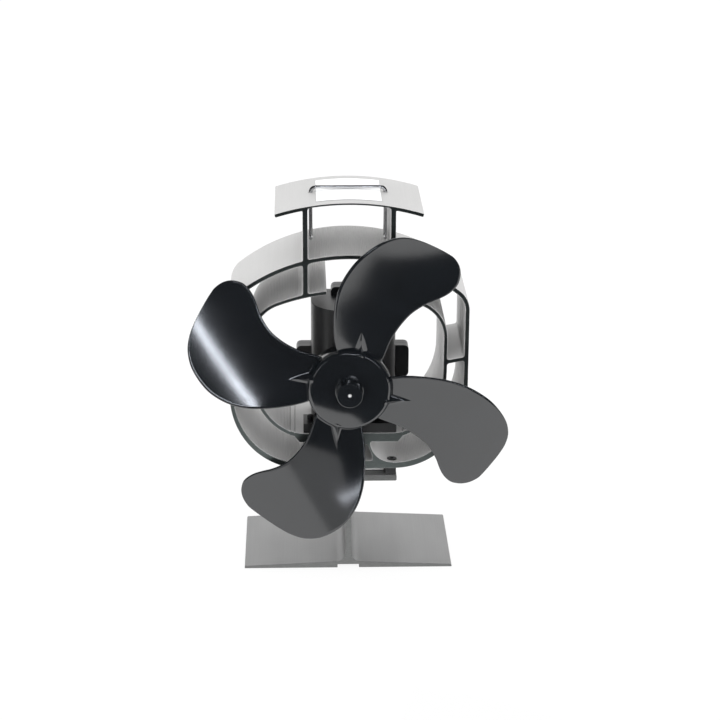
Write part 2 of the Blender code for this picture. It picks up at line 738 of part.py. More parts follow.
def build_elements(level):
    half = PELLET_WIDTH / 2
    rows = bmesh.new()
    for row in range(PELLETS_PER_SIDE):
        y = MODULE_MIDDLE + element_place(row)
        single = front_view("element_row", [element_row(level)], y - half, y + half)
        moved = single.matrix_basis
        rows.from_mesh(single.data)
        fresh = [v for v in rows.verts if not v.tag]
        bmesh.ops.transform(rows, matrix=moved, verts=fresh)
        for vert in fresh:
            vert.tag = True
        bpy.data.objects.remove(single, do_unlink=True)
    elements = mesh_object("teg_elements", rows, TELLURIDE)
    links = bmesh.new()
    for row in range(PELLETS_PER_SIDE - 1):
        x = element_place(PELLETS_PER_SIDE - 1) * (1 if row % 2 == 0 else -1)
        near = MODULE_MIDDLE + element_place(row)
        far = MODULE_MIDDLE + element_place(row + 1)
        add_box(links, (x - half / 2, near - half / 2, level + TAB_THICKNESS / 4),
                (x + half / 2, far + half / 2, level + TAB_THICKNESS))
    boolean(elements, mesh_object("element_row_links", links), "UNION")


def build_module():
    half = MODULE_WIDTH / 2
    level = BASE_HEIGHT + FILM_GAP

    def plate(name, thickness, finish):
        nonlocal level
        box(name, (-half, MODULE_SETBACK, level), (half, MODULE_BACK, level + thickness),
            finish)
        level += thickness + FILM_GAP

    plate("hot_pad", PAD_THICKNESS, GRAPHITE)
    plate("teg_hot_ceramic", CERAMIC_THICKNESS, CERAMIC)
    build_elements(level)
    hole = half - SEAL_WIDTH
    seal_outlines = [[(-reach, MODULE_MIDDLE - reach), (reach, MODULE_MIDDLE - reach),
                      (reach, MODULE_MIDDLE + reach), (-reach, MODULE_MIDDLE + reach)]
                     for reach in (half, hole)]
    plan_view("teg_seal", seal_outlines, level, level + PELLET_HEIGHT, SEALANT)
    level += PELLET_HEIGHT + FILM_GAP
    plate("teg_cold_ceramic", CERAMIC_THICKNESS, CERAMIC)
    plate("cold_pad", PAD_THICKNESS, GRAPHITE)


CLAMP_NAMES = ("front_left", "back_left", "front_right", "back_right")


def build_clamp():
    inner = MODULE_WIDTH / 2 + SPACER_INNER_GAP
    outer = TOP_PLATE_WIDTH / 2 - SPACER_OUTER_SETBACK
    low = BASE_HEIGHT + FILM_GAP
    high = SINK_BOTTOM - FILM_GAP
    holes = rods("spacer_holes", clamp_places(), CLAMP_RADIUS + RUNNING_GAP,
                 low - OVERRUN, high + OVERRUN)
    for side, ends in (("left", (-outer, -inner)), ("right", (inner, outer))):
        spacer = box("side_spacer_" + side, (ends[0], SPACER_OUTER_SETBACK, low),
                     (ends[1], SINK_DEPTH - SPACER_OUTER_SETBACK, high), BLACK_PLASTIC)
        boolean(spacer, holes)

    seat = FLOOR_TOP - COUNTERBORE_DEPTH + FILM_GAP
    flange_top = seat + BUSH_FLANGE_HEIGHT
    bore = CLAMP_RADIUS + RUNNING_GAP
    bush = ((bore, flange_top), (BUSH_FLANGE_RADIUS, flange_top), (BUSH_FLANGE_RADIUS, seat),
            (BUSH_RADIUS, seat), (BUSH_RADIUS, SINK_BOTTOM), (bore, SINK_BOTTOM))
    head_bottom = flange_top + FILM_GAP
    head_top = head_bottom + CLAMP_HEAD_HEIGHT
    tip = BASE_HEIGHT - TOP_PLATE_THICKNESS
    screw = ((0, head_top), (CLAMP_HEAD_RADIUS, head_top), (CLAMP_HEAD_RADIUS, head_bottom),
             (CLAMP_RADIUS, head_bottom), (CLAMP_RADIUS, tip), (0, tip))
    sockets = rods("clamp_sockets", clamp_places(), CLAMP_SOCKET_RADIUS,
                   head_top - CLAMP_SOCKET_DEPTH, head_top + OVERRUN, steps=6)
    for corner, (x, y) in zip(CLAMP_NAMES, clamp_places()):
        turned("insulating_bush_" + corner, bush, (x, y, 0), NYLON, SMALL_STEPS, upright=True)
        clamp = turned("clamp_screw_" + corner, screw, (x, y, 0), BLACK_STEEL, SMALL_STEPS,
                       upright=True)
        boolean(clamp, sockets)


# Heat sink

def sink_outlines():
    """Outer edge, window, middle cell, four side cells and tunnel of the extrusion."""
    half = RING_WIDTH / 2
    outer = ring_path(half, RING_TOP, SINK_BOTTOM, RING_CROWN_RADIUS, RING_CORNER_RADIUS,
                      RING_FOOT_REACH, RING_FOOT_RISE)
    outer_in = ring_path(half - RING_WALL, RING_TOP - RING_WALL, FLOOR_TOP,
                         RING_CROWN_RADIUS - RING_WALL, RING_CORNER_RADIUS - RING_WALL,
                         RING_FOOT_REACH - RING_WALL, RING_FOOT_RISE - RING_FLOOR)
    half = INNER_WIDTH / 2
    inner = ring_path(half, INNER_TOP, INNER_BOTTOM, INNER_CROWN_RADIUS, INNER_CORNER_RADIUS,
                      INNER_FOOT_REACH, INNER_FOOT_RISE)
    inner_in = ring_path(half - INNER_WALL, INNER_TOP - INNER_WALL, PLATFORM_TOP,
                         INNER_CROWN_RADIUS - INNER_WALL, INNER_CORNER_RADIUS - INNER_WALL,
                         INNER_FOOT_REACH - INNER_WALL, INNER_FOOT_RISE - INNER_FLOOR)
    post_in = (POST_SPACING - POST_THICKNESS) / 2
    post_out = (POST_SPACING + POST_THICKNESS) / 2
    arm_end = ARM_GAP / 2
    rib_outer = RING_TOP - RIB_DROP + RIB_THICKNESS / 2
    rib_inner = rib_outer - RIB_SLOPE

    roof_end = ROOF_WIDTH / 2
    lean = math.degrees(math.asin(roof_end / ROOF_RADIUS))
    under = ROOF_RADIUS - ROOF_THICKNESS
    roof_top = arc(0, ROOF_CENTRE, ROOF_RADIUS, ROOF_RADIUS, 90, 90 - lean, 8)
    roof_under = arc(0, ROOF_CENTRE, under, under, 90 - lean, 90, 8)
    thin = ROOF_RADIUS - ROOF_MIDDLE_THICKNESS
    roof_middle = arc(0, ROOF_CENTRE, thin, thin, 90 - lean, 90, 8)

    edge = roof_top + stretch(roof_under, None, (0, post_out))
    post_root = crossing(outer, 0, post_out)[1]
    edge += stretch(outer, (0, post_out), None)
    corners = [roof_top[-1], roof_under[0], crossing(roof_under, 0, post_out)[1], post_root]
    corners += [(-x, z) for x, z in corners]
    outer_edge = softened(mirrored(edge), corners, CELL_FILLET / 2)

    window = stretch(list(reversed(roof_middle)), None, (0, post_in))
    window += list(reversed(stretch(outer, None, (0, post_in))))
    corners = [crossing(roof_middle, 0, post_in)[1], crossing(outer, 0, post_in)[1]]
    corners += [(-x, z) for x, z in corners]
    window = softened(mirrored(window), corners, CELL_FILLET)

    middle = stretch(outer_in, None, (0, post_in))
    middle += list(reversed(stretch(inner, (0, arm_end), (0, post_in))))
    middle += stretch(inner_in, (0, arm_end), None)
    corners = [crossing(outer_in, 0, post_in)[1], crossing(inner, 0, post_in)[1]]
    ends = [crossing(inner, 0, arm_end)[1], crossing(inner_in, 0, arm_end)[1]]
    corners += [(-x, z) for x, z in corners]
    ends += [(-x, z) for x, z in ends]
    middle = softened(mirrored(middle), corners, CELL_FILLET)
    middle = softened(middle, ends, INNER_WALL / 2)

    upper = stretch(outer_in, (0, post_out), (1, rib_outer))
    upper += list(reversed(stretch(inner, (0, post_out), (1, rib_inner))))
    corners = [crossing(outer_in, 0, post_out)[1], crossing(outer_in, 1, rib_outer)[1],
               crossing(inner, 1, rib_inner)[1], crossing(inner, 0, post_out)[1]]
    upper = softened(upper, corners, CELL_FILLET)

    leg_foot = LEG_SPREAD / 2
    leg_top = leg_foot - LEG_FLARE_RADIUS
    shoulder = crossing(list(reversed(inner[:-1])), 0, PLATFORM_SHOULDER / 2)[1]
    climb = list(reversed(outer_in))
    lower = list(reversed(stretch(climb, (0, leg_foot), (1, rib_outer - RIB_THICKNESS))))
    lower += arc(leg_foot, FLOOR_TOP + LEG_FLARE_RADIUS, LEG_FLARE_RADIUS, LEG_FLARE_RADIUS,
                 270, 180, 8)[1:-1]
    lower += [(leg_top, PLATFORM_BOTTOM), (PLATFORM_WIDTH / 2, PLATFORM_BOTTOM), shoulder]
    rising = list(reversed(inner))
    lower += stretch(rising, (0, shoulder[0]), (1, rib_inner - RIB_THICKNESS))[1:]
    corners = [crossing(outer_in, 1, rib_outer - RIB_THICKNESS)[1],
               crossing(inner, 1, rib_inner - RIB_THICKNESS)[1], (leg_top, PLATFORM_BOTTOM)]
    lower = softened(lower, corners, CELL_FILLET)

    knee = FLOOR_TOP + TUNNEL_FLOOR_RISE + TUNNEL_KNEE
    tunnel_top = PLATFORM_BOTTOM - TUNNEL_ROOF
    tunnel = [(0, tunnel_top), (TUNNEL_TOP_WIDTH / 2, tunnel_top), (TUNNEL_FOOT_WIDTH / 2, knee),
              (TUNNEL_FOOT_WIDTH / 2, FLOOR_TOP + TUNNEL_FLOOR_RISE),
              (0, FLOOR_TOP + TUNNEL_FLOOR_RISE)]
    corners = [(sign * x, z) for sign in (1, -1) for x, z in tunnel[1:4]]
    tunnel = softened(mirrored(tunnel), corners, EDGE_FILLET)
    return [outer_edge, window, middle, upper, flipped(upper), lower, flipped(lower), tunnel]


def roof_height(x, radius=ROOF_RADIUS):
    return ROOF_CENTRE + math.sqrt(radius ** 2 - x ** 2)


def foot_screw_places():
    side = FOOT_BAR_WIDTH / 2 - FOOT_SCREW_INSET
    depth = FOOT_BAR_SETBACK + FOOT_BAR_DEPTH / 2
    return [(FOOT_BAR_OFFSET + sign * side, depth) for sign in (-1, 1)]


def build_sink():
    sink = front_view("heat_sink", sink_outlines(), 0, SINK_DEPTH, ANODISED)
    seat = FLOOR_TOP - COUNTERBORE_DEPTH
    boolean(sink, rods("sink_clamp_holes", clamp_places(), BUSH_RADIUS + RUNNING_GAP,
                       SINK_BOTTOM - OVERRUN, seat + OVERRUN))
    boolean(sink, rods("sink_counterbores", clamp_places(), BUSH_FLANGE_RADIUS + RUNNING_GAP,
                       seat, FLOOR_TOP + COUNTERBORE_DEPTH))
    wires = [(sign * HANDLE_WIDTH / 2, MIDDLE) for sign in (-1, 1)]
    boolean(sink, rods("roof_wire_holes", wires, WIRE_RADIUS + HANDLE_HOLE_GAP,
                       roof_height(HANDLE_WIDTH / 2) - 2 * ROOF_THICKNESS, ROOF_TOP + OVERRUN))
    boolean(sink, rods("platform_screw_holes", foot_screw_places(),
                       FOOT_SCREW_RADIUS + RUNNING_GAP,
                       PLATFORM_TOP - FOOT_SCREW_DEPTH - FILM_GAP, PLATFORM_TOP + OVERRUN))


# Wire handle and label

def wire(name, points, radius, finish, location=(0, 0, 0), roundness=2):
    curve = bpy.data.curves.new(name, "CURVE")
    curve.dimensions = "3D"
    curve.bevel_depth = radius
    curve.bevel_resolution = roundness
    curve.use_fill_caps = True
    spline = curve.splines.new("POLY")
    spline.points.add(len(points) - 1)
    for point, spot in zip(spline.points, points):
        point.co = (*spot, 1)
    obj = bpy.data.objects.new(name, curve)
    obj.location = location
    return place(obj, finish)


def build_handle():
    """Bar, bends, legs and feet; the feet point forward and act as stops."""
    side = HANDLE_WIDTH / 2
    bend = HANDLE_BEND
    bar = ROOF_TOP + FILM_GAP + LABEL_THICKNESS + FILM_GAP + WIRE_RADIUS
    under = roof_height(side, ROOF_RADIUS - ROOF_MIDDLE_THICKNESS)
    foot = under - 2 * SEAT_GAP - WIRE_RADIUS - HANDLE_LIFT
    toe = 2 * WIRE_RADIUS
    right = [(side - bend + bend * math.sin(a), 0, bar - bend + bend * math.cos(a))
             for a in (math.radians(15 * step) for step in range(7))]
    right += [(side, -toe + toe * math.cos(a), foot + toe - toe * math.sin(a))
              for a in (math.radians(18 * step) for step in range(6))]
    right += [(side, -HANDLE_FOOT, foot)]
    left = [(-x, y, z) for x, y, z in reversed(right)]
    wire("carry_handle", left + right, WIRE_RADIUS, STEEL, (0, MIDDLE, 0), 3)

    low = ROOF_RADIUS + FILM_GAP
    high = low + LABEL_THICKNESS
    lean = math.degrees(math.asin(LABEL_WIDTH / 2 / low))
    outline = arc(0, ROOF_CENTRE, high, high, 90 + lean, 90 - lean, 12)
    outline += arc(0, ROOF_CENTRE, low, low, 90 - lean, 90 + lean, 12)
    front_view("blank_label", [outline], LABEL_SETBACK, SINK_DEPTH - LABEL_SETBACK, LABEL_WHITE)


# Motor case

def case_plan(inset, near, far):
    """Oval nose and straight sides of the case, seen from above, cut square at near."""
    reach = CASE_WIDTH / 2 - inset
    rise = CASE_NOSE_REACH - inset
    start = 0.0
    if near > CASE_NOSE_SETBACK - rise:
        start = math.degrees(math.acos((CASE_NOSE_SETBACK - near) / rise))
    nose = arc(0, CASE_NOSE_SETBACK, reach, rise, 270 + start, 360, 12)
    half = nose + [(reach, far)]
    return half + [(-x, y) for x, y in reversed(half) if x > WELD]


def ear_outline():
    """The case from the front: body, side ears and top ear."""
    side = CASE_WIDTH / 2
    tip = side + EAR_REACH
    top = AXIS_HEIGHT + EAR_HEIGHT / 2
    bottom = AXIS_HEIGHT - EAR_HEIGHT / 2
    crest = CASE_TOP + TOP_EAR_RISE
    half = [(0, crest), (TOP_EAR_WIDTH / 2, crest), (TOP_EAR_WIDTH / 2, CASE_TOP),
            (side, CASE_TOP), (side, top), (tip, top), (tip, bottom), (side, bottom),
            (side, CASE_BOTTOM), (0, CASE_BOTTOM)]
    corners = [(sign * x, z) for sign in (1, -1)
               for x, z in (half[1], half[3], half[5], half[6])]
    return softened(mirrored(half), corners, EAR_RADIUS, 5)


def ear_screw_places():
    """Centres of the screws that join the shells, in X and Z."""
    side = CASE_WIDTH / 2 + EAR_REACH / 2
    crest = CASE_TOP + (TOP_EAR_RISE - CASE_WALL) / 2
    return [(CASE_OFFSET - side, AXIS_HEIGHT), (CASE_OFFSET + side, AXIS_HEIGHT),
            (CASE_OFFSET, crest)]


def bars(name, places, radius, near, far, steps=SMALL_STEPS):
    """Rods along Y that cut holes at places given in X and Z."""
    shape = bmesh.new()
    for x, z in places:
        add_rod(shape, radius, (x, near, z), (x, far, z), "y", steps)
    return mesh_object(name, shape)


def motor_screw_places():
    return [(sign * MOTOR_SCREW_SPACING / 2, AXIS_HEIGHT) for sign in (-1, 1)]


def slotted_screws(names, origins, shank, head, length, height, finish, turn):
    """Slotted screws whose heads sit on their origins; turn points them along an axis."""
    profile = ((0, height), (head, height), (head, 0), (shank, 0), (shank, -length), (0, -length))
    floor = height - DRIVE_SLOT_DEPTH
    for name, origin in zip(names, origins):
        screw = turned(name, profile, origin, finish, SMALL_STEPS)
        screw.rotation_euler = turn
        slot = bmesh.new()
        add_box(slot, (-head - OVERRUN, -DRIVE_SLOT_WIDTH / 2, floor),
                (head + OVERRUN, DRIVE_SLOT_WIDTH / 2, height + OVERRUN))
        boolean(screw, mesh_object(name + "_slot", slot, None, origin, turn))


def build_case():
    flange = front_view("case_flange", [ear_outline()], EAR_SETBACK, SPLIT_FRONT,
                        centre=CASE_OFFSET)
    overlap = EAR_SETBACK + EAR_DEPTH / 2
    front = plan_view("motor_shell_front", [case_plan(0, 0, overlap)], CASE_BOTTOM, CASE_TOP,
                      BLACK_PLASTIC, CASE_OFFSET)
    half_height = CASE_HEIGHT / 2
    round_edges(front, lambda a, b: min(a.z, b.z) > half_height - WELD
                and min(a.y, b.y) < overlap - WELD, CASE_TOP_RADIUS)
    bar_side = FOOT_BAR_WIDTH / 2
    bar = box("case_foot_bar", (FOOT_BAR_OFFSET - bar_side, FOOT_BAR_SETBACK, CASE_BOTTOM),
              (FOOT_BAR_OFFSET + bar_side, FOOT_BAR_SETBACK + FOOT_BAR_DEPTH,
               CASE_BOTTOM + FOOT_BAR_HEIGHT))
    boolean(front, flange, "UNION")
    boolean(front, bar, "UNION", solver="MANIFOLD")
    room = plan_view("case_room", [case_plan(CASE_WALL, BULKHEAD_SETBACK + CASE_WALL,
                                             SPLIT_FRONT + OVERRUN)],
                     CASE_BOTTOM + CASE_WALL, CASE_TOP - CASE_WALL, centre=CASE_OFFSET)
    boolean(front, room)
    axis = [(0, AXIS_HEIGHT)]
    boolean(front, bars("nose_recess", axis, NOSE_RECESS_RADIUS, -OVERRUN, BULKHEAD_SETBACK,
                        steps=ROUND_STEPS))
    boolean(front, bars("bulkhead_hole", axis, CAN_BOSS_RADIUS + RUNNING_GAP,
                        BULKHEAD_SETBACK - OVERRUN, MOTOR_FRONT))
    boolean(front, bars("motor_screw_holes", motor_screw_places(),
                        MOTOR_SCREW_RADIUS + RUNNING_GAP, BULKHEAD_SETBACK - OVERRUN, MOTOR_FRONT))
    boolean(front, bars("front_ear_holes", ear_screw_places(), SHELL_SCREW_RADIUS + RUNNING_GAP,
                        SPLIT_FRONT - SHELL_SCREW_GRIP - FILM_GAP, SPLIT_FRONT + OVERRUN))
    boolean(front, rods("foot_bar_holes", foot_screw_places(), FOOT_SCREW_RADIUS + RUNNING_GAP,
                        CASE_BOTTOM - OVERRUN, CASE_BOTTOM + FOOT_BAR_HEIGHT + OVERRUN))

    rear = front_view("motor_shell_rear", [ear_outline()], REAR_FRONT, REAR_BACK, BLACK_PLASTIC,
                      CASE_OFFSET)
    half_depth = EAR_DEPTH / 2
    round_edges(rear, lambda a, b: max(a.z, b.z) < -half_depth + WELD, CASE_TOP_RADIUS / 2, 2)
    side = CASE_WIDTH / 2 - CASE_WALL
    room = box("rear_room", (CASE_OFFSET - side, REAR_FRONT - OVERRUN, CASE_BOTTOM + CASE_WALL),
               (CASE_OFFSET + side, REAR_BACK - CASE_WALL, CASE_TOP - CASE_WALL))
    boolean(rear, room)
    boolean(rear, bars("rear_ear_holes", ear_screw_places(), SHELL_SCREW_RADIUS + RUNNING_GAP,
                       REAR_FRONT - OVERRUN, REAR_BACK + OVERRUN))
    boolean(rear, bars("lead_hole", [(CASE_OFFSET, GROMMET_HEIGHT)],
                       GROMMET_RADIUS + RUNNING_GAP, REAR_FRONT - OVERRUN, REAR_BACK + OVERRUN))

    backward = (-math.pi / 2, 0, 0)
    slotted_screws(("shell_screw_left", "shell_screw_right", "shell_screw_top"),
                   [(x, REAR_BACK + FILM_GAP, z) for x, z in ear_screw_places()],
                   SHELL_SCREW_RADIUS, SHELL_HEAD_RADIUS,
                   REAR_BACK + FILM_GAP - SPLIT_FRONT + SHELL_SCREW_GRIP, SHELL_HEAD_HEIGHT,
                   BLACK_STEEL, backward)
    seat = CASE_BOTTOM + FOOT_BAR_HEIGHT + FILM_GAP
    slotted_screws(("foot_screw_left", "foot_screw_right"),
                   [(x, y, seat) for x, y in foot_screw_places()],
                   FOOT_SCREW_RADIUS, FOOT_HEAD_RADIUS, seat - PLATFORM_TOP + FOOT_SCREW_DEPTH,
                   FOOT_HEAD_HEIGHT, BLACK_STEEL, (0, 0, 0))
    seat = BULKHEAD_SETBACK - FILM_GAP
    slotted_screws(("motor_screw_left", "motor_screw_right"),
                   [(x, seat, z) for x, z in motor_screw_places()],
                   MOTOR_SCREW_RADIUS, MOTOR_HEAD_RADIUS,
                   MOTOR_FRONT + MOTOR_SCREW_REACH - seat, MOTOR_HEAD_HEIGHT, STEEL, UPRIGHT)


# Motor: profiles are radius and reach forward of the can's front face

def build_motor():
    origin = (0, MOTOR_FRONT, AXIS_HEIGHT)
    bore = BEARING_RADIUS + RUNNING_GAP
    lip = BEARING_RADIUS - 2 * RUNNING_GAP - SHAFT_RADIUS / 2
    inside = CAN_RADIUS - CAN_WALL
    can = turned("motor_can", [
        (lip, CAN_BOSS_LENGTH), (CAN_BOSS_RADIUS, CAN_BOSS_LENGTH), (CAN_BOSS_RADIUS, 0),
        (CAN_RADIUS - CAN_WALL, 0), (CAN_RADIUS, -CAN_WALL), (CAN_RADIUS, -CAN_LENGTH),
        (inside, -CAN_LENGTH), (inside, -CAN_WALL), (bore, -CAN_WALL),
        (bore, CAN_BOSS_LENGTH - CAN_WALL / 2), (lip, CAN_BOSS_LENGTH - CAN_WALL / 2)],
        origin, STEEL)
    boolean(can, bars("can_screw_holes", motor_screw_places(), MOTOR_SCREW_RADIUS + RUNNING_GAP,
                      MOTOR_FRONT - OVERRUN, MOTOR_FRONT + CAN_WALL + OVERRUN))

    shaft_hole = SHAFT_RADIUS + RUNNING_GAP / 2
    front_top = CAN_BOSS_LENGTH - CAN_WALL / 2 - FILM_GAP
    turned("front_bearing", [
        (shaft_hole, front_top), (BEARING_RADIUS, front_top),
        (BEARING_RADIUS, front_top - BEARING_LENGTH), (shaft_hole, front_top - BEARING_LENGTH)],
        origin, BRONZE, SMALL_STEPS)

    cap_radius = inside - RUNNING_GAP
    cap_front = -CAN_LENGTH + END_CAP_THICKNESS / 2
    cap_back = cap_front - END_CAP_THICKNESS
    boss_back = cap_back - END_CAP_BOSS_LENGTH
    cap = turned("motor_end_cap", [
        (bore, cap_front), (cap_radius, cap_front), (cap_radius, cap_back),
        (END_CAP_BOSS_RADIUS, cap_back), (END_CAP_BOSS_RADIUS, boss_back), (lip, boss_back),
        (lip, boss_back + CAN_WALL), (bore, boss_back + CAN_WALL)],
        origin, NYLON)
    rear_back = boss_back + CAN_WALL + FILM_GAP
    turned("rear_bearing", [
        (shaft_hole, rear_back + BEARING_LENGTH), (BEARING_RADIUS, rear_back + BEARING_LENGTH),
        (BEARING_RADIUS, rear_back), (shaft_hole, rear_back)],
        origin, BRONZE, SMALL_STEPS)

    near = MOTOR_FRONT - cap_front
    low = AXIS_HEIGHT - TERMINAL_DROP
    reach = TERMINAL_WIDTH / 2 + RUNNING_GAP
    slots = bmesh.new()
    for sign in (-1, 1):
        x = sign * TERMINAL_SPACING / 2
        add_box(slots, (x - reach, near - OVERRUN, low - RUNNING_GAP),
                (x + reach, near + END_CAP_THICKNESS + OVERRUN,
                 low + TERMINAL_THICKNESS + RUNNING_GAP))
    boolean(cap, mesh_object("cap_terminal_slots", slots))

    outer = inside - FILM_GAP
    inner = outer - MAGNET_THICKNESS
    for name, middle in (("magnet_right", 0), ("magnet_left", 180)):
        start = middle - MAGNET_SPAN / 2
        end = middle + MAGNET_SPAN / 2
        outline = arc(0, 0, outer, outer, start, end, 16) + arc(0, 0, inner, inner, end, start, 16)
        extruded(name, [outline], MAGNET_LENGTH,
                 (0, MAGNET_FRONT + MAGNET_LENGTH / 2, AXIS_HEIGHT), UPRIGHT, FERRITE)


def tooth_outline(inner, reach):
    """T-shaped teeth round a hub, as one closed outline."""
    half = CORE_TOOTH_WIDTH / 2
    shoe_in = reach - CORE_SHOE_THICKNESS
    pitch = 360 / POLES
    points = []
    for tooth in range(POLES):
        middle = 90 + pitch * tooth
        root = math.degrees(math.asin(half / inner))
        neck = math.degrees(math.asin(half / shoe_in))
        span = CORE_SHOE_SPAN / 2
        points += arc(0, 0, inner, inner, middle - pitch + root, middle - root, 6)
        points += [arc(0, 0, shoe_in, shoe_in, middle - neck, middle, 1)[0]]
        points += arc(0, 0, shoe_in, shoe_in, middle - neck, middle - span, 4)[1:]
        points += arc(0, 0, reach, reach, middle - span, middle + span, 10)
        points += arc(0, 0, shoe_in, shoe_in, middle + span, middle + neck, 4)
    return points


def commutator_outline(inner):
    """A ring with slots that part its segments down to the insulating sleeve."""
    floor = COMMUTATOR_RADIUS - COMMUTATOR_SLOT_DEPTH
    gap = COMMUTATOR_SLOT_ANGLE
    pitch = 360 / POLES
    outline = []
    for segment in range(POLES):
        start = pitch * segment
        outline += arc(0, 0, floor, floor, start - gap / 2, start + gap / 2, 1)
        outline += arc(0, 0, COMMUTATOR_RADIUS, COMMUTATOR_RADIUS, start + gap / 2,
                       start + pitch - gap / 2, 8)
    return [outline, arc(0, 0, inner, inner, 360, 0, 20)[:-1]]


def build_brush(name, sign, commutator_front):
    """Spring leaf on the commutator, plate on the end cap and tab out through the cap."""
    cap_front = MOTOR_FRONT + CAN_LENGTH - END_CAP_THICKNESS / 2
    plate_back = cap_front - FILM_GAP
    plate_front = plate_back - BRUSH_THICKNESS
    touch = COMMUTATOR_RADIUS + RUNNING_GAP
    pin = TERMINAL_SPACING / 2
    low = AXIS_HEIGHT - TERMINAL_DROP
    high = AXIS_HEIGHT + BRUSH_WIDTH / 2

    def part(part_name, start, end):
        """A block given for the right-hand side, mirrored for the left."""
        xs = sorted((sign * start[0], sign * end[0]))
        return (part_name, (xs[0], start[1], start[2]), (xs[1], end[1], end[2]))

    whole = box(*part(name, (touch, plate_front, low - TERMINAL_THICKNESS),
                      (pin + TERMINAL_WIDTH / 2, plate_back, high)), BRASS)
    leaf = box(*part(name + "_leaf", (touch, commutator_front + COMMUTATOR_LENGTH / 4,
                                      AXIS_HEIGHT - BRUSH_WIDTH / 2),
                     (touch + BRUSH_THICKNESS, plate_front + BRUSH_THICKNESS / 2, high)))
    tab = box(*part(name + "_tab", (pin - TERMINAL_WIDTH / 2, plate_front + BRUSH_THICKNESS / 2,
                                    low),
                    (pin + TERMINAL_WIDTH / 2, plate_back + TERMINAL_LENGTH,
                     low + TERMINAL_THICKNESS)))
    boolean(whole, leaf, "UNION")
    boolean(whole, tab, "UNION")


def build_rotor():
    core_front = MAGNET_FRONT + (MAGNET_LENGTH - CORE_LENGTH) / 2
    core_back = core_front + CORE_LENGTH
    core_middle = (core_front + core_back) / 2
    inner = SHAFT_RADIUS + RUNNING_GAP
    hole = arc(0, 0, inner, inner, 360, 0, 20)[:-1]
    extruded("armature_core", [tooth_outline(CORE_HUB_RADIUS, CORE_RADIUS), hole], CORE_LENGTH,
             (0, core_middle, AXIS_HEIGHT), UPRIGHT, STEEL)

    gap_x = CORE_TOOTH_WIDTH / 2 + FILM_GAP
    gap_y = CORE_LENGTH / 2 + FILM_GAP
    loops = []
    for x, y in ((gap_x + COIL_THICKNESS, gap_y + COIL_THICKNESS), (gap_x, gap_y)):
        loops.append([(-x, -y), (x, -y), (x, y), (-x, y)])
    radius = CORE_HUB_RADIUS + (COIL_THICKNESS + COIL_HEIGHT) / 2
    for pole, name in enumerate(("winding_top", "winding_right", "winding_left")):
        angle = math.tau * pole / POLES
        spot = (radius * math.sin(angle), core_middle, AXIS_HEIGHT + radius * math.cos(angle))
        extruded(name, loops, COIL_HEIGHT, spot, (0, angle, 0), COPPER)

    commutator_front = core_back + COIL_THICKNESS + 3 * FILM_GAP
    extruded("commutator", commutator_outline(inner), COMMUTATOR_LENGTH,
             (0, commutator_front + COMMUTATOR_LENGTH / 2, AXIS_HEIGHT), UPRIGHT, COPPER)
    build_brush("brush_right", 1, commutator_front)
    build_brush("brush_left", -1, commutator_front)

    front = SHAFT_END_SETBACK - BOSS_REACH
    back = MOTOR_BACK + END_CAP_THICKNESS / 2 + END_CAP_BOSS_LENGTH - CAN_WALL - WHEEL_SETBACK
    chamfer = SHAFT_RADIUS / 4
    turned("motor_shaft", ((0, -front), (SHAFT_RADIUS - chamfer, -front),
                           (SHAFT_RADIUS, -front - chamfer), (SHAFT_RADIUS, -back), (0, -back)),
           (0, WHEEL_SETBACK, AXIS_HEIGHT), STEEL, SMALL_STEPS)


# Fan wheel

def smooth_path(points, stations):
    """Evenly numbered points of a smooth curve through the given ones."""
    path = []
    last = len(points) - 1
    for step in range(stations):
        place_along = last * step / (stations - 1)
        index = min(int(place_along), last - 1)
        s = place_along - index
        four = [points[max(index - 1, 0)], points[index], points[index + 1],
                points[min(index + 2, last)]]
        path.append(tuple((2 * b + (c - a) * s + (2 * a - 5 * b + 4 * c - d) * s * s
                           + (3 * b - a - 3 * c + d) * s ** 3) / 2
                          for a, b, c, d in zip(*four)))
    return path


def blade_axes(index):
    """Outward and clockwise directions of a blade, in X and Z, seen from the front."""
    angle = math.tau * index / BLADE_COUNT
    return (-math.cos(angle), math.sin(angle)), (math.sin(angle), math.cos(angle))


def blade_spot(index, u, t):
    out, side = blade_axes(index)
    return (u * out[0] + t * side[0], blade_depth(u, t), u * out[1] + t * side[1])


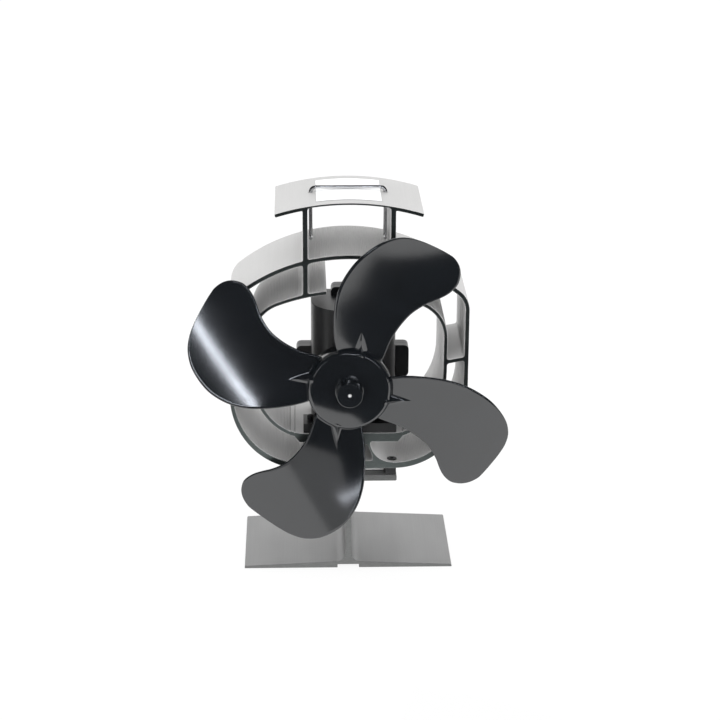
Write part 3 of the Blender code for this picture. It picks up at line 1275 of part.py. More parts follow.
def build_wheel():
    origin = (0, WHEEL_SETBACK, AXIS_HEIGHT)
    trailing = smooth_path(TRAILING_SHARES, BLADE_STATIONS)
    leading = smooth_path(LEADING_SHARES, BLADE_STATIONS)
    shape = bmesh.new()
    for blade in range(BLADE_COUNT):
        rows = []
        for low, high in zip(trailing, leading):
            row = []
            for column in range(BLADE_COLUMNS + 1):
                s = column / BLADE_COLUMNS
                u = TIP_RADIUS * (low[0] + s * (high[0] - low[0]))
                t = TIP_RADIUS * (low[1] + s * (high[1] - low[1]))
                row.append(shape.verts.new(blade_spot(blade, u, t)))
            rows.append(row)
        for lower, upper in zip(rows, rows[1:]):
            for i in range(BLADE_COLUMNS):
                shape.faces.new((lower[i], lower[i + 1], upper[i + 1], upper[i]))
    blades = mesh_object("wheel_blades", shape, location=origin)
    skin = blades.modifiers.new("thickness", "SOLIDIFY")
    skin.thickness = BLADE_THICKNESS
    skin.offset = 0
    skin.use_even_offset = False
    core_front = WHEEL_SETBACK - HUB_RADIUS
    core_radius = HUB_RADIUS - HUB_WALL * HUB_ROOT_SHARE
    boolean(blades, bars("wheel_core", [(0, AXIS_HEIGHT)], core_radius, core_front,
                         WHEEL_SETBACK + HUB_RADIUS, steps=HUB_STEPS), solver="MANIFOLD")

    gussets = bmesh.new()
    for blade in range(BLADE_COUNT):
        out, side = blade_axes(blade)
        t = GUSSET_SHARE * TIP_RADIUS
        u = HUB_RADIUS - GUSSET_INSET
        foot = Vector(blade_spot(blade, u, t))
        tip = Vector(blade_spot(blade, u + GUSSET_LENGTH, t))
        run = (tip - foot).normalized()
        across = Vector((side[0], 0, side[1]))
        up = run.cross(across).normalized()
        across = up.cross(run)
        pose = Matrix((across, up, run)).transposed().to_4x4()
        pose.translation = (foot + tip) / 2
        stretch_shape = Matrix.Diagonal((GUSSET_WIDTH / 2, GUSSET_HEIGHT / 2, (tip - foot).length, 1))
        bmesh.ops.create_cone(gussets, cap_ends=True, segments=12, radius1=1, radius2=0, depth=1,
                              matrix=pose @ stretch_shape)
    gussets = mesh_object("wheel_gussets", gussets, location=origin)

    bore = SHAFT_RADIUS + RUNNING_GAP / 2
    rim = -HUB_RIM_SETBACK
    floor = rim - HUB_DISH_DEPTH
    dish = BOSS_RADIUS + BOSS_CHAMFER
    dish_edge = HUB_RIM_RADIUS - HUB_LIP
    back = -HUB_BACK_SETBACK
    inside = HUB_RADIUS - HUB_WALL
    behind = floor - HUB_WALL
    profile = [(bore, BOSS_REACH), (BOSS_RADIUS - BOSS_CHAMFER, BOSS_REACH),
               (BOSS_RADIUS, BOSS_REACH - BOSS_CHAMFER), (BOSS_RADIUS, floor + BOSS_CHAMFER)]
    for step in range(6):
        s = step / 5
        profile.append((dish + (dish_edge - dish) * s,
                        floor + (HUB_DISH_DEPTH - HUB_LIP / 2) * s * s))
    profile += arc(HUB_RIM_RADIUS - HUB_LIP / 2, rim - HUB_LIP / 2, HUB_LIP / 2, HUB_LIP / 2,
                   120, 0, 3)
    profile += [(HUB_RIM_RADIUS + (HUB_RADIUS - HUB_RIM_RADIUS) * out,
                 rim - HUB_LIP - HUB_SHOULDER * down) for out, down in HUB_FLARE_SHARES]
    profile += [(HUB_RADIUS, rim - HUB_LIP - HUB_SHOULDER), (HUB_RADIUS, back),
                (inside, back), (inside, behind - HUB_WALL), (inside - HUB_WALL, behind),
                (dish, behind - HUB_WALL / 2), (REAR_BOSS_RADIUS, behind - HUB_WALL),
                (REAR_BOSS_RADIUS, -REAR_BOSS_SETBACK), (bore, -REAR_BOSS_SETBACK)]
    wheel = turned("fan_wheel", profile, origin, WHEEL_BLACK, HUB_STEPS)
    boolean(wheel, blades, "UNION")
    boolean(wheel, gussets, "UNION")


# Leads, clip and grommet

def lead_route(side):
    """Points of one lead; side is 1 for the right-hand lead and -1 for the left one."""
    x = side * LEAD_SPACING / 2
    hole = CASE_OFFSET + side * GROMMET_LEAD_SPACING / 2
    pin = side * TERMINAL_SPACING / 2
    behind = SINK_DEPTH + SEAT_GAP + CLIP_DEPTH / 2
    tail = MODULE_BACK + SEAT_GAP
    bend = 4 * LEAD_RADIUS
    tab = AXIS_HEIGHT - TERMINAL_DROP - SEAT_GAP
    pin_y = MOTOR_BACK - END_CAP_THICKNESS / 2 + FILM_GAP + TERMINAL_LENGTH - 2 * LEAD_RADIUS
    clip_top = PLATFORM_TOP + bend
    rise = GROMMET_HEIGHT - clip_top
    back = REAR_BACK + GROMMET_FLANGE
    climb = [(x + (hole - x) * across, behind - (behind - back) * along, clip_top + rise * up)
             for across, along, up in LEAD_CLIMB_SHARES]
    return [
        (x, tail, LEAD_HEIGHT), (x, behind - 2 * bend, LEAD_HEIGHT),
        (x, behind - bend / 2, LEAD_HEIGHT + bend / 4), (x, behind, LEAD_HEIGHT + bend),
        (x, behind, PLATFORM_BOTTOM), (x, behind, clip_top), *climb,
        (hole, back, GROMMET_HEIGHT), (hole, REAR_BACK - CASE_WALL - bend / 2, GROMMET_HEIGHT),
        ((hole + pin) / 2, pin_y + bend / 4, GROMMET_HEIGHT + bend / 8),
        (pin, pin_y, GROMMET_HEIGHT + bend / 2), (pin, pin_y, tab - bend / 4), (pin, pin_y, tab),
    ]


def build_leads():
    for name, side, finish in (("red_lead", 1, RED_SLEEVE), ("black_lead", -1, BLACK_SLEEVE)):
        wire(name, smooth_path(lead_route(side), 36), LEAD_RADIUS, finish)

    near = SINK_DEPTH + SEAT_GAP
    middle = (PLATFORM_TOP + PLATFORM_BOTTOM) / 2
    clip = box("lead_clip", (-CLIP_WIDTH / 2, near, middle - CLIP_HEIGHT / 2),
               (CLIP_WIDTH / 2, near + CLIP_DEPTH, middle + CLIP_HEIGHT / 2), BLACK_PLASTIC)
    round_edges(clip, lambda a, b: abs(a.z - b.z) > CLIP_HEIGHT / 2, EDGE_FILLET, 2)
    holes = [(sign * LEAD_SPACING / 2, near + CLIP_DEPTH / 2) for sign in (-1, 1)]
    boolean(clip, rods("clip_holes", holes, LEAD_RADIUS + RUNNING_GAP,
                       middle - CLIP_HEIGHT, middle + CLIP_HEIGHT))

    outer = GROMMET_FLANGE
    wall = CASE_WALL
    turned("lead_grommet", [
        (GROMMET_BORE_RADIUS, wall + outer / 2), (GROMMET_RADIUS, wall + outer / 2),
        (GROMMET_RADIUS, -FILM_GAP), (GROMMET_FLANGE_RADIUS, -FILM_GAP),
        (GROMMET_FLANGE_RADIUS, -outer / 2), (GROMMET_FLANGE_RADIUS - outer / 2, -outer),
        (GROMMET_BORE_RADIUS, -outer)],
        (CASE_OFFSET, REAR_BACK, GROMMET_HEIGHT), BLACK_RUBBER, SMALL_STEPS)


build_bracket()
build_module()
build_clamp()
build_sink()
build_handle()
build_case()
build_motor()
build_rotor()
build_wheel()
build_leads()

for piece in PARTS.objects:
    if piece.type == "MESH":
        piece.modifiers.new("shading", "WEIGHTED_NORMAL").keep_sharp = True
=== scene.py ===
import json
import math

import bmesh
import bpy
from mathutils import Matrix, Vector


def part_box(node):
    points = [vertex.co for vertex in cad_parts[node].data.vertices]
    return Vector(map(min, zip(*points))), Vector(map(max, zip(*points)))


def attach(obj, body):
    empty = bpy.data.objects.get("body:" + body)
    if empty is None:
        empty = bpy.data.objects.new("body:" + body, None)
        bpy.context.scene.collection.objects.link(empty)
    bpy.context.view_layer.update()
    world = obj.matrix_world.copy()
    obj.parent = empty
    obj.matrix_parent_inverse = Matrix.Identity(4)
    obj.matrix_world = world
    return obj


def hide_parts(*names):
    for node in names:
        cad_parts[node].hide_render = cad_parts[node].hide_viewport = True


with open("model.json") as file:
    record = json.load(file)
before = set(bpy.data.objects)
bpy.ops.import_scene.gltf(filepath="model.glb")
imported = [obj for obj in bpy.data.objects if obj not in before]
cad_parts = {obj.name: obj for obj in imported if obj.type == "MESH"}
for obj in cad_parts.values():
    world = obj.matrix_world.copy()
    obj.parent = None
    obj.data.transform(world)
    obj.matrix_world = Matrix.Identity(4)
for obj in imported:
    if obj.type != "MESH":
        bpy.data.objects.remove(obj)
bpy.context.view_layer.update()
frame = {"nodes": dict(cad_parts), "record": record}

# Looks of the stove fan. Metres, +Z up, the wheel faces -Y. Lengths that the
# solids also have are repeated here, so that the finer pieces fit over them.

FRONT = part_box("heat_sink")[0].y
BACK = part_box("heat_sink")[1].y

# Heat sink
SINK_BOTTOM = 0.0614
RING_TOP = 0.1861
FLOOR_TOP = 0.065
RING_HALF = 0.0658
RING_WALL = 0.0024
RING_FLOOR = 0.0036
RING_CROWN = 0.098
RING_CORNER = 0.0145
RING_FOOT = (0.040, 0.044)
INNER_HALF = 0.054
INNER_BOTTOM = 0.0802
INNER_TOP = 0.1665
INNER_WALL = 0.0021
INNER_FLOOR = 0.0024
INNER_CROWN = 0.112
INNER_CORNER = 0.022
INNER_FOOT = (0.030, 0.038)
ARM_END = 0.0122
POST_IN = 0.0223
POST_OUT = 0.0251
RIB_OUTER = 0.1274
RIB_SLOPE = 0.0018
RIB_THICKNESS = 0.0022
ROOF_HALF = 0.0402
ROOF_TOP = 0.2151
ROOF_RADIUS = 0.135
ROOF_THICKNESS = 0.002
ROOF_MIDDLE_THICKNESS = 0.0011
PLATFORM_TOP = 0.0826
PLATFORM_BOTTOM = 0.0774
PLATFORM_HALF = 0.0275
PLATFORM_SHOULDER = 0.0303
LEG_FOOT = 0.0244
LEG_FLARE = 0.0124
TUNNEL_TOP_HALF = 0.0106
TUNNEL_FOOT_HALF = 0.0133
TUNNEL_KNEE = 0.0032
TUNNEL_FLOOR_RISE = 0.0009
TUNNEL_ROOF = 0.0018
CROWN_STEPS = 40
CORNER_STEPS = 20
FOOT_STEPS = 48
ROOF_STEPS = 24
LEG_STEPS = 24
CELL_FILLET = 0.0014
EDGE_FILLET = 0.0008
FILLET_STEPS = 6
CUT_EDGE = 0.00014
SHARPEST_CORNER = 0.8
TOOTH_PITCH = 0.00095
TOOTH_LAND = 0.00054
TOOTH_DEPTH = 0.00024
TOOTH_MARGIN = 0.0019
ON_PATH_GAP = 0.00002
SAME_POINT_GAP = 0.000002
ON_MIDDLE_GAP = 0.0000001
STRIP_LINES = (0.0299, 0.0325)
STRIP_LINE_WIDTH = 0.0005
STRIP_LINE_DEPTH = 0.0004
STRIP_LINE_ZONE = 0.008
STRIP_LINE_CLEARANCE = 1.2
WIRE_HOLE_RADIUS = 0.0013
CLAMP_PLACES = ((0.0244, 0.0053), (0.0244, 0.0517))
COUNTERBORE_RADIUS = 0.00298
COUNTERBORE_DEPTH = 0.0019
ROOF_HOLE_BELOW = 0.008
ROOF_HOLE_ABOVE = 0.002
ROD_STEPS = 32

# Wire handle
WIRE_RADIUS = 0.00105
HANDLE_HALF = 0.0205
HANDLE_BEND = 0.0032
HANDLE_BAR = 0.2165
HANDLE_FOOT_LENGTH = 0.004
HANDLE_FOOT_HEIGHT = 0.18827
HANDLE_BEND_STEPS = 18
HANDLE_TOE_STEPS = 10
WIRE_SIDES = 24
WIRE_END_SHARE = 0.82

# Fan wheel
AXIS_HEIGHT = 0.1129
WHEEL_SETBACK = -0.0175
TIP = 0.0919
BLADE_COUNT = 4
BLADE_THICKNESS = 0.0015
BLADE_RAKE = -0.237
BLADE_TWIST = 0.23
BLADE_CAMBER = 0.02
BLADE_WARP = 0.486
BLADE_MIDDLE_SHARE = 0.598
TRAILING_SHARES = (
    (0.185, -0.060), (0.248, -0.078), (0.326, -0.091), (0.413, -0.096), (0.500, -0.094),
    (0.588, -0.085), (0.675, -0.061), (0.756, -0.021), (0.832, 0.036), (0.892, 0.109),
    (0.934, 0.188), (0.950, 0.272), (0.939, 0.348), (0.910, 0.419), (0.873, 0.487),
    (0.831, 0.555), (0.797, 0.603),
)
LEADING_SHARES = (
    (0.131, 0.180), (0.201, 0.209), (0.283, 0.238), (0.354, 0.274), (0.414, 0.316),
    (0.464, 0.363), (0.501, 0.418), (0.527, 0.472), (0.544, 0.522), (0.564, 0.570),
    (0.590, 0.609), (0.622, 0.638), (0.659, 0.651), (0.696, 0.654), (0.733, 0.646),
    (0.764, 0.630), (0.785, 0.614),
)
ROOT_ROWS = 50
ROOT_SHARE = 0.22
ROOT_CROWDING = 1.15
OUTER_ROWS = 70
EDGE_STEPS = (0.0, 0.00005, 0.0002, 0.00042, 0.00075)
WIDEST_EDGE_SHARE = 0.32
BLADE_COLUMNS = 56
COLUMN_CROWDING = 1.5
TIP_GAP = 0.00002
HALVINGS = 34
ROOT_SEARCH = (0.0, 0.2)
CREST_SEARCH = (0.3, 0.7)
SLOPE_STEP = 0.00001
HUB_RADIUS = 0.0232
HUB_RIM = 0.0206
HUB_RIM_SETBACK = 0.0035
HUB_WALL = 0.0016
HUB_DISH = 0.0038
HUB_DOME = 0.0006
DOME_START = 0.009
HUB_SHOULDER = 0.0044
HUB_SIDE_DROP = 0.001
HUB_BACK = 0.0165
HUB_BACK_EDGE = 0.0002
HUB_ROUNDING = 0.9
HUB_FILLET = 0.0035
HUB_SIDE_SLOPE = 2.5
FRONT_ROOT = 0.0207
BACK_ROOT = 0.0226
BACK_FILLET = 0.002
SKIN_SINK = 0.00002
EDGE_FADE = 0.0016
BOSS_RADIUS = 0.0071
BOSS_REACH = 0.0035
BOSS_EDGE = 0.0004
BOSS_FLARE = 0.0002
BOSS_FILLET = 0.0006
BOSS_RINGS = 4
REAR_BOSS_RADIUS = 0.004
REAR_BOSS_SETBACK = 0.0155
SHAFT_BORE = 0.00104
BORE_DEPTH = 0.004
BORE_EDGE = 0.0001
FACE_RINGS = 40
GUSSET_SHARE = 0.071
GUSSET_START = 0.0222
GUSSET_LENGTH = 0.0125
GUSSET_HALF_WIDTH = 0.0036
GUSSET_TAPER = 0.7
GUSSET_FALL = 1.25
GUSSET_SHARE_OF_RIM = 0.95
HUB_STEPS = 128

# Screw heads on the case's foot bar
FOOT_SCREWS = ("foot_screw_left", "foot_screw_right")
PAN_HEAD_RADIUS = 0.0017
PAN_HEAD_HEIGHT = 0.0026
PAN_HEAD_ROUNDING = 0.0008
SCREW_SHANK_RADIUS = 0.0012
SCREW_BREAK = 0.0001
SCREW_STEPS = 48
CROSS_REACH = 0.0011
CROSS_HALF_WIDTH = 0.0003
CROSS_DEPTH = 0.0009
CROSS_OVERRUN = 0.0003
CROSS_TAPER_SHARE = 0.35

# Solids that are shown in a finer form
REPLACED = ("heat_sink", "fan_wheel", "carry_handle") + FOOT_SCREWS

# Edges of the solids that are shown as they are
WELD_GAP = 1e-6
EDGE_WIDTH = 0.00018
EDGE_SEGMENTS = 2
EDGE_ANGLE = 32.0
SHADING_WEIGHT = 80

# Camera and light
CAMERA_PLACE = (-0.0277081, -1.0397615, 0.5004586)
CAMERA_YAW = 0.0332
CAMERA_PITCH = 0.3526
CAMERA_ROLL = 0.0052
CAMERA_LENS = 98.834
CAMERA_SENSOR = 36.0
AIM = Vector((0.0, 0.0, 0.11))
CLIP_START = 0.01
LAMP_BLUE = (0.86, 0.91, 1.0)

# Paper under the fan, seen from above as (x, y). Its front edge runs where the
# wheel's polished plastic changes from white paper to dark room in the photograph.
FLOOR_FRONT = ((-1.3, -0.30), (-0.14, -0.25), (0.005, -0.245), (0.018, -0.205), (0.03, -0.158),
               (0.066, -0.17), (0.12, -0.205), (0.22, -0.245), (0.40, -0.41), (1.3, -1.2))
FLOOR_BACK = 2.6
FLOOR_DROP = 0.0002
FLOOR_GREY = 0.88
FLOOR_ROUGHNESS = 0.9
FLOOR_SHOWN = 0.9
SHOWN_RAYS = ("Is Camera Ray", "Is Glossy Ray", "Is Transmission Ray")

# Surroundings: polished faces mirror white behind the fan and a dark room elsewhere
WORLD_LIGHT = 2.8
ZENITH_DIMMING = 0.7
WORLD_DARK = 0.02
PANEL_SPREAD = 1.25
PANEL_EDGE = 0.12

# Finishes: grain scales are waves per metre
FINE_GRAIN = (1500.0, 1500.0, 1500.0)
COARSE_GRAIN = (700.0, 700.0, 700.0)
DRAWN_GRAIN = (2400.0, 240.0, 2400.0)
WOUND_GRAIN = (500.0, 3000.0, 500.0)
BROAD_RATIO = 9
BUMP_RATIO = 2.2
DIE_LINES = (2600.0, 14.0, 2600.0)
SPECKS = (5200.0, 5200.0, 5200.0)
SPECK_SHARE = 0.8
SAW_MARKS = (340.0, 2600.0, 2600.0)
METAL_PATCHES = (60.0, 20.0, 60.0)
CUT_SLOPE = (0.80, 0.93)
CUT_POLISH = -0.08
FLOW_MARKS = (34.0, 34.0, 34.0)
SMUDGES = (40.0, 40.0, 40.0)
MOULD_GRAIN = (4200.0, 4200.0, 4200.0)
PLASTIC_IOR = 1.58
FIBRES = (900.0, 900.0, 900.0)
LABEL_WEAR = (70.0, 70.0, 70.0)
LABEL_DARK = (0.86, 0.865, 0.87, 1.0)
LABEL_LIGHT = (0.90, 0.905, 0.91, 1.0)


# Pieces and small mesh tools

def new_piece(name, shape, body, smooth):
    """Make a piece from a bmesh, which rides on a body; paint gives it its finish later."""
    piece = plain_object(name, shape)
    piece.data.shade_smooth()
    piece.data.set_sharp_from_angle(angle=math.radians(smooth))
    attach(piece, body)
    return piece


def plain_object(name, shape):
    """Turn a bmesh into an object of the scene."""
    bmesh.ops.recalc_face_normals(shape, faces=shape.faces)
    mesh = bpy.data.meshes.new(name)
    shape.to_mesh(mesh)
    shape.free()
    return new_object(name, mesh)


def new_object(name, data):
    made = bpy.data.objects.new(name, data)
    bpy.context.scene.collection.objects.link(made)
    return made


def cut_away(piece, cutter):
    """Cut one mesh from a piece and keep only the result."""
    change = piece.modifiers.new("cut", "BOOLEAN")
    change.operation = "DIFFERENCE"
    change.solver = "MANIFOLD"
    change.object = cutter
    bpy.context.view_layer.update()
    graph = bpy.context.evaluated_depsgraph_get()
    mesh = bpy.data.meshes.new_from_object(piece.evaluated_get(graph))
    piece.modifiers.clear()
    piece.data = mesh
    bpy.data.objects.remove(cutter, do_unlink=True)


def join_rows(shape, rows, rings=True):
    """Faces between each row of points and the next. A ring's last point meets its first."""
    for low, high in zip(rows, rows[1:]):
        for i in range(len(low) if rings else len(low) - 1):
            after = (i + 1) % len(low)
            shape.faces.new((low[i], low[after], high[after], high[i]))


def lathe(shape, profile, centre, axis, steps, closed=False):
    """Turn a profile of (radius, height) about an axis through a centre."""
    turn = {"z": Matrix.Identity(3), "y": Matrix.Rotation(math.pi / 2, 3, "X")}[axis]
    rings = []
    for radius, height in profile:
        ring = []
        for step in range(steps):
            angle = math.tau * step / steps
            spot = Vector((radius * math.cos(angle), radius * math.sin(angle), height))
            ring.append(shape.verts.new(turn @ spot + Vector(centre)))
        rings.append(ring)
    join_rows(shape, rings + rings[:1] if closed else rings)
    return rings


def quarter(steps):
    """Angles from zero to a quarter turn."""
    return [math.pi / 2 * step / steps for step in range(steps + 1)]


# Outlines, seen from the front as (x, z)

def arc(centre_x, centre_z, reach, rise, start, end, count):
    points = []
    for step in range(count + 1):
        angle = math.radians(start + (end - start) * step / count)
        points.append((centre_x + reach * math.cos(angle), centre_z + rise * math.sin(angle)))
    return points


def mirrored(half):
    return half + [(-x, z) for x, z in reversed(half) if x > ON_MIDDLE_GAP]


def flipped(outline):
    return [(-x, z) for x, z in reversed(outline)]


def crossing(path, axis, value):
    for index, (a, b) in enumerate(zip(path, path[1:])):
        if (a[axis] - value) * (b[axis] - value) <= 0 and a[axis] != b[axis]:
            share = (value - a[axis]) / (b[axis] - a[axis])
            return index, (a[0] + share * (b[0] - a[0]), a[1] + share * (b[1] - a[1]))
    return len(path) - 1, path[-1]


def stretch(path, first=None, last=None):
    start, start_point = crossing(path, *first) if first else (0, path[0])
    end, end_point = crossing(path, *last) if last else (len(path) - 2, path[-1])
    return [start_point] + path[start + 1:end + 1] + [end_point]


def walk_from(outline, index, step, length):
    """The point a length away along an outline, and the corners passed on the way."""
    size = len(outline)
    passed = set()
    here = index
    left = length
    while True:
        there = (here + step) % size
        side = math.dist(outline[here], outline[there])
        if side >= left:
            share = left / side
            a, b = outline[here], outline[there]
            return (a[0] + share * (b[0] - a[0]), a[1] + share * (b[1] - a[1])), passed
        left -= side
        here = there
        passed.add(here)


def softened(outline, corners, radius):
    """Round the named corners of a closed outline."""
    size = len(outline)
    dropped = set()
    curves = {}
    for corner in corners:
        index = min(range(size), key=lambda i: math.dist(outline[i], corner))
        before, passed_before = walk_from(outline, index, -1, radius)
        after, passed_after = walk_from(outline, index, 1, radius)
        dropped |= passed_before | passed_after
        curves[index] = [tuple((1 - s) ** 2 * p + 2 * s * (1 - s) * q + s * s * r
                               for p, q, r in zip(before, outline[index], after))
                         for s in (step / FILLET_STEPS for step in range(FILLET_STEPS + 1))]
    rounded = []
    for index, point in enumerate(outline):
        if index in curves:
            rounded += curves[index]
        elif index not in dropped:
            rounded.append(point)
    return rounded


def ring_path(half_width, top, bottom, crown, corner, foot):
    """Right half of a ring: crown arc, corner arc, straight side, elliptical foot."""
    centre = top - crown
    corner_x = half_width - corner
    corner_z = centre + math.sqrt((crown - corner) ** 2 - corner_x ** 2)
    turn = math.degrees(math.atan2(corner_z - centre, corner_x))
    path = arc(0, centre, crown, crown, 90, turn, CROWN_STEPS)
    path += arc(corner_x, corner_z, corner, corner, turn, 0, CORNER_STEPS)[1:]
    path += arc(half_width - foot[0], bottom + foot[1], foot[0], foot[1], 0, -90, FOOT_STEPS)
    return path + [(0, bottom)]


def ring_paths():
    """Outer ring outside and inside, inner ring outside and inside."""
    outer = ring_path(RING_HALF, RING_TOP, SINK_BOTTOM, RING_CROWN, RING_CORNER, RING_FOOT)
    outer_in = ring_path(RING_HALF - RING_WALL, RING_TOP - RING_WALL, FLOOR_TOP,
                         RING_CROWN - RING_WALL, RING_CORNER - RING_WALL,
                         (RING_FOOT[0] - RING_WALL, RING_FOOT[1] - RING_FLOOR))
    inner = ring_path(INNER_HALF, INNER_TOP, INNER_BOTTOM, INNER_CROWN, INNER_CORNER, INNER_FOOT)
    inner_in = ring_path(INNER_HALF - INNER_WALL, INNER_TOP - INNER_WALL, PLATFORM_TOP,
                         INNER_CROWN - INNER_WALL, INNER_CORNER - INNER_WALL,
                         (INNER_FOOT[0] - INNER_WALL, INNER_FOOT[1] - INNER_FLOOR))
    return outer, outer_in, inner, inner_in


def both_sides(points):
    return points + [(-x, z) for x, z in points]


def edge_outline(outer, roof_top, roof_under):
    edge = roof_top + stretch(roof_under, None, (0, POST_OUT)) + stretch(outer, (0, POST_OUT))
    corners = [roof_top[-1], roof_under[0], crossing(roof_under, 0, POST_OUT)[1],
               crossing(outer, 0, POST_OUT)[1]]
    return softened(mirrored(edge), both_sides(corners), CELL_FILLET / 2)


def window_outline(outer, roof_middle):
    window = stretch(list(reversed(roof_middle)), None, (0, POST_IN))
    window += list(reversed(stretch(outer, None, (0, POST_IN))))
    corners = both_sides([crossing(roof_middle, 0, POST_IN)[1], crossing(outer, 0, POST_IN)[1]])
    window = softened(mirrored(window), corners, CELL_FILLET)
    return toothed(window, (outer,), corners)


def middle_outline(outer_in, inner, inner_in):
    middle = stretch(outer_in, None, (0, POST_IN))
    middle += list(reversed(stretch(inner, (0, ARM_END), (0, POST_IN))))
    middle += stretch(inner_in, (0, ARM_END))
    corners = both_sides([crossing(outer_in, 0, POST_IN)[1], crossing(inner, 0, POST_IN)[1]])
    ends = both_sides([crossing(inner, 0, ARM_END)[1], crossing(inner_in, 0, ARM_END)[1]])
    middle = softened(mirrored(middle), corners, CELL_FILLET)
    middle = softened(middle, ends, INNER_WALL / 2)
    ring_part = [p for p in inner_in if p[0] > STRIP_LINES[1] or p[1] > INNER_BOTTOM + INNER_FOOT[1]]
    middle = toothed(middle, (outer_in, inner, ring_part), corners + ends)
    for line in STRIP_LINES:
        middle = notched(middle, line)
    return middle


def upper_outline(outer_in, inner):
    upper = stretch(outer_in, (0, POST_OUT), (1, RIB_OUTER))
    upper += list(reversed(stretch(inner, (0, POST_OUT), (1, RIB_OUTER - RIB_SLOPE))))
    corners = [crossing(outer_in, 0, POST_OUT)[1], crossing(outer_in, 1, RIB_OUTER)[1],
               crossing(inner, 1, RIB_OUTER - RIB_SLOPE)[1], crossing(inner, 0, POST_OUT)[1]]
    return toothed(softened(upper, corners, CELL_FILLET), (outer_in, inner), corners)


def lower_outline(outer_in, inner):
    rising = list(reversed(inner))
    climb = list(reversed(outer_in))
    shoulder = crossing(list(reversed(inner[:-1])), 0, PLATFORM_SHOULDER)[1]
    rib_low = RIB_OUTER - RIB_THICKNESS
    lower = list(reversed(stretch(climb, (0, LEG_FOOT), (1, rib_low))))
    lower += arc(LEG_FOOT, FLOOR_TOP + LEG_FLARE, LEG_FLARE, LEG_FLARE, 270, 180,
                 LEG_STEPS)[1:-1]
    leg_top = LEG_FOOT - LEG_FLARE
    lower += [(leg_top, PLATFORM_BOTTOM), (PLATFORM_HALF, PLATFORM_BOTTOM), shoulder]
    lower += stretch(rising, (0, shoulder[0]), (1, rib_low - RIB_SLOPE))[1:]
    corners = [crossing(outer_in, 1, rib_low)[1], crossing(inner, 1, rib_low - RIB_SLOPE)[1],
               (leg_top, PLATFORM_BOTTOM)]
    lower = softened(lower, corners, CELL_FILLET)
    return toothed(lower, (outer_in, inner), corners + [shoulder])


def tunnel_outline():
    base = FLOOR_TOP + TUNNEL_FLOOR_RISE
    top = PLATFORM_BOTTOM - TUNNEL_ROOF
    tunnel = [(0, top), (TUNNEL_TOP_HALF, top), (TUNNEL_FOOT_HALF, base + TUNNEL_KNEE),
              (TUNNEL_FOOT_HALF, base), (0, base)]
    return softened(mirrored(tunnel), both_sides(tunnel[1:4]), EDGE_FILLET)


def sink_outlines():
    outer, outer_in, inner, inner_in = ring_paths()
    lean = math.degrees(math.asin(ROOF_HALF / ROOF_RADIUS))
    centre = ROOF_TOP - ROOF_RADIUS
    under = ROOF_RADIUS - ROOF_THICKNESS
    roof_top = arc(0, centre, ROOF_RADIUS, ROOF_RADIUS, 90, 90 - lean, ROOF_STEPS)
    roof_under = arc(0, centre, under, under, 90 - lean, 90, ROOF_STEPS)
    thin = ROOF_RADIUS - ROOF_MIDDLE_THICKNESS
    roof_middle = arc(0, centre, thin, thin, 90 - lean, 90, ROOF_STEPS)
    upper = upper_outline(outer_in, inner)
    lower = lower_outline(outer_in, inner)
    return [edge_outline(outer, roof_top, roof_under), window_outline(outer, roof_middle),
            middle_outline(outer_in, inner, inner_in), upper, flipped(upper), lower,
            flipped(lower), tunnel_outline()]


# Extrusion teeth

def gap_to_path(point, path):
    """Distance from a point, brought to the right side, to a path."""
    x, z = abs(point[0]), point[1]
    best = 1.0
    for a, b in zip(path, path[1:]):
        run = (b[0] - a[0], b[1] - a[1])
        size = run[0] ** 2 + run[1] ** 2
        if size == 0:
            continue
        s = max(0.0, min(1.0, ((x - a[0]) * run[0] + (z - a[1]) * run[1]) / size))
        best = min(best, math.hypot(x - a[0] - s * run[0], z - a[1] - s * run[1]))
    return best


def area_of(outline):
    return sum(a[0] * b[1] - b[0] * a[1] for a, b in zip(outline, outline[1:] + outline[:1])) / 2


def walled(outline, hole=True):
    """Turn an outline so that the metal lies on its right."""
    anticlockwise = area_of(outline) > 0
    return outline if anticlockwise == hole else list(reversed(outline))


def tooth_run(run):
    """Narrow grooves between flat lands in a run of points, cut into the metal on its right."""
    lengths = [0.0]
    for a, b in zip(run, run[1:]):
        lengths.append(lengths[-1] + math.dist(a, b))
    count = max(1, round(lengths[-1] / TOOTH_PITCH))
    pitch = lengths[-1] / count
    land = TOOTH_LAND / TOOTH_PITCH
    points = []
    index = 0
    for step in range(3 * count + 1):
        part = (0.0, land, (1 + land) / 2)[step % 3]
        along = min(pitch * (step // 3 + part), lengths[-1])
        while index < len(run) - 2 and lengths[index + 1] < along:
            index += 1
        a, b = run[index], run[index + 1]
        side = lengths[index + 1] - lengths[index]
        s = (along - lengths[index]) / side if side else 0.0
        depth = TOOTH_DEPTH if step % 3 == 2 else 0.0
        away = ((b[1] - a[1]) / side, (a[0] - b[0]) / side) if side else (0.0, 0.0)
        points.append((a[0] + s * (b[0] - a[0]) + depth * away[0],
                       a[1] + s * (b[1] - a[1]) + depth * away[1]))
    return points


def toothed(outline, paths, corners):
    """Give teeth to the stretches of a hole's outline that lie on the given paths."""
    outline = walled(outline)

    def wanted(point):
        clear = all(math.dist(point, corner) > TOOTH_MARGIN for corner in corners)
        return clear and any(gap_to_path(point, path) < ON_PATH_GAP for path in paths)

    marks = [wanted(p) for p in outline]
    if all(marks):
        return tooth_run(outline + outline[:1])[:-1]
    first = next(i for i in range(len(outline)) if marks[i - 1] and not marks[i])
    outline = outline[first:] + outline[:first]
    marks = marks[first:] + marks[:first]
    made = []
    run = []
    for point, mark in zip(outline, marks):
        if mark:
            run.append(point)
            continue
        made += tooth_run(run) if len(run) > 2 else run
        run = []
        made.append(point)
    return made + (tooth_run(run) if len(run) > 2 else run)


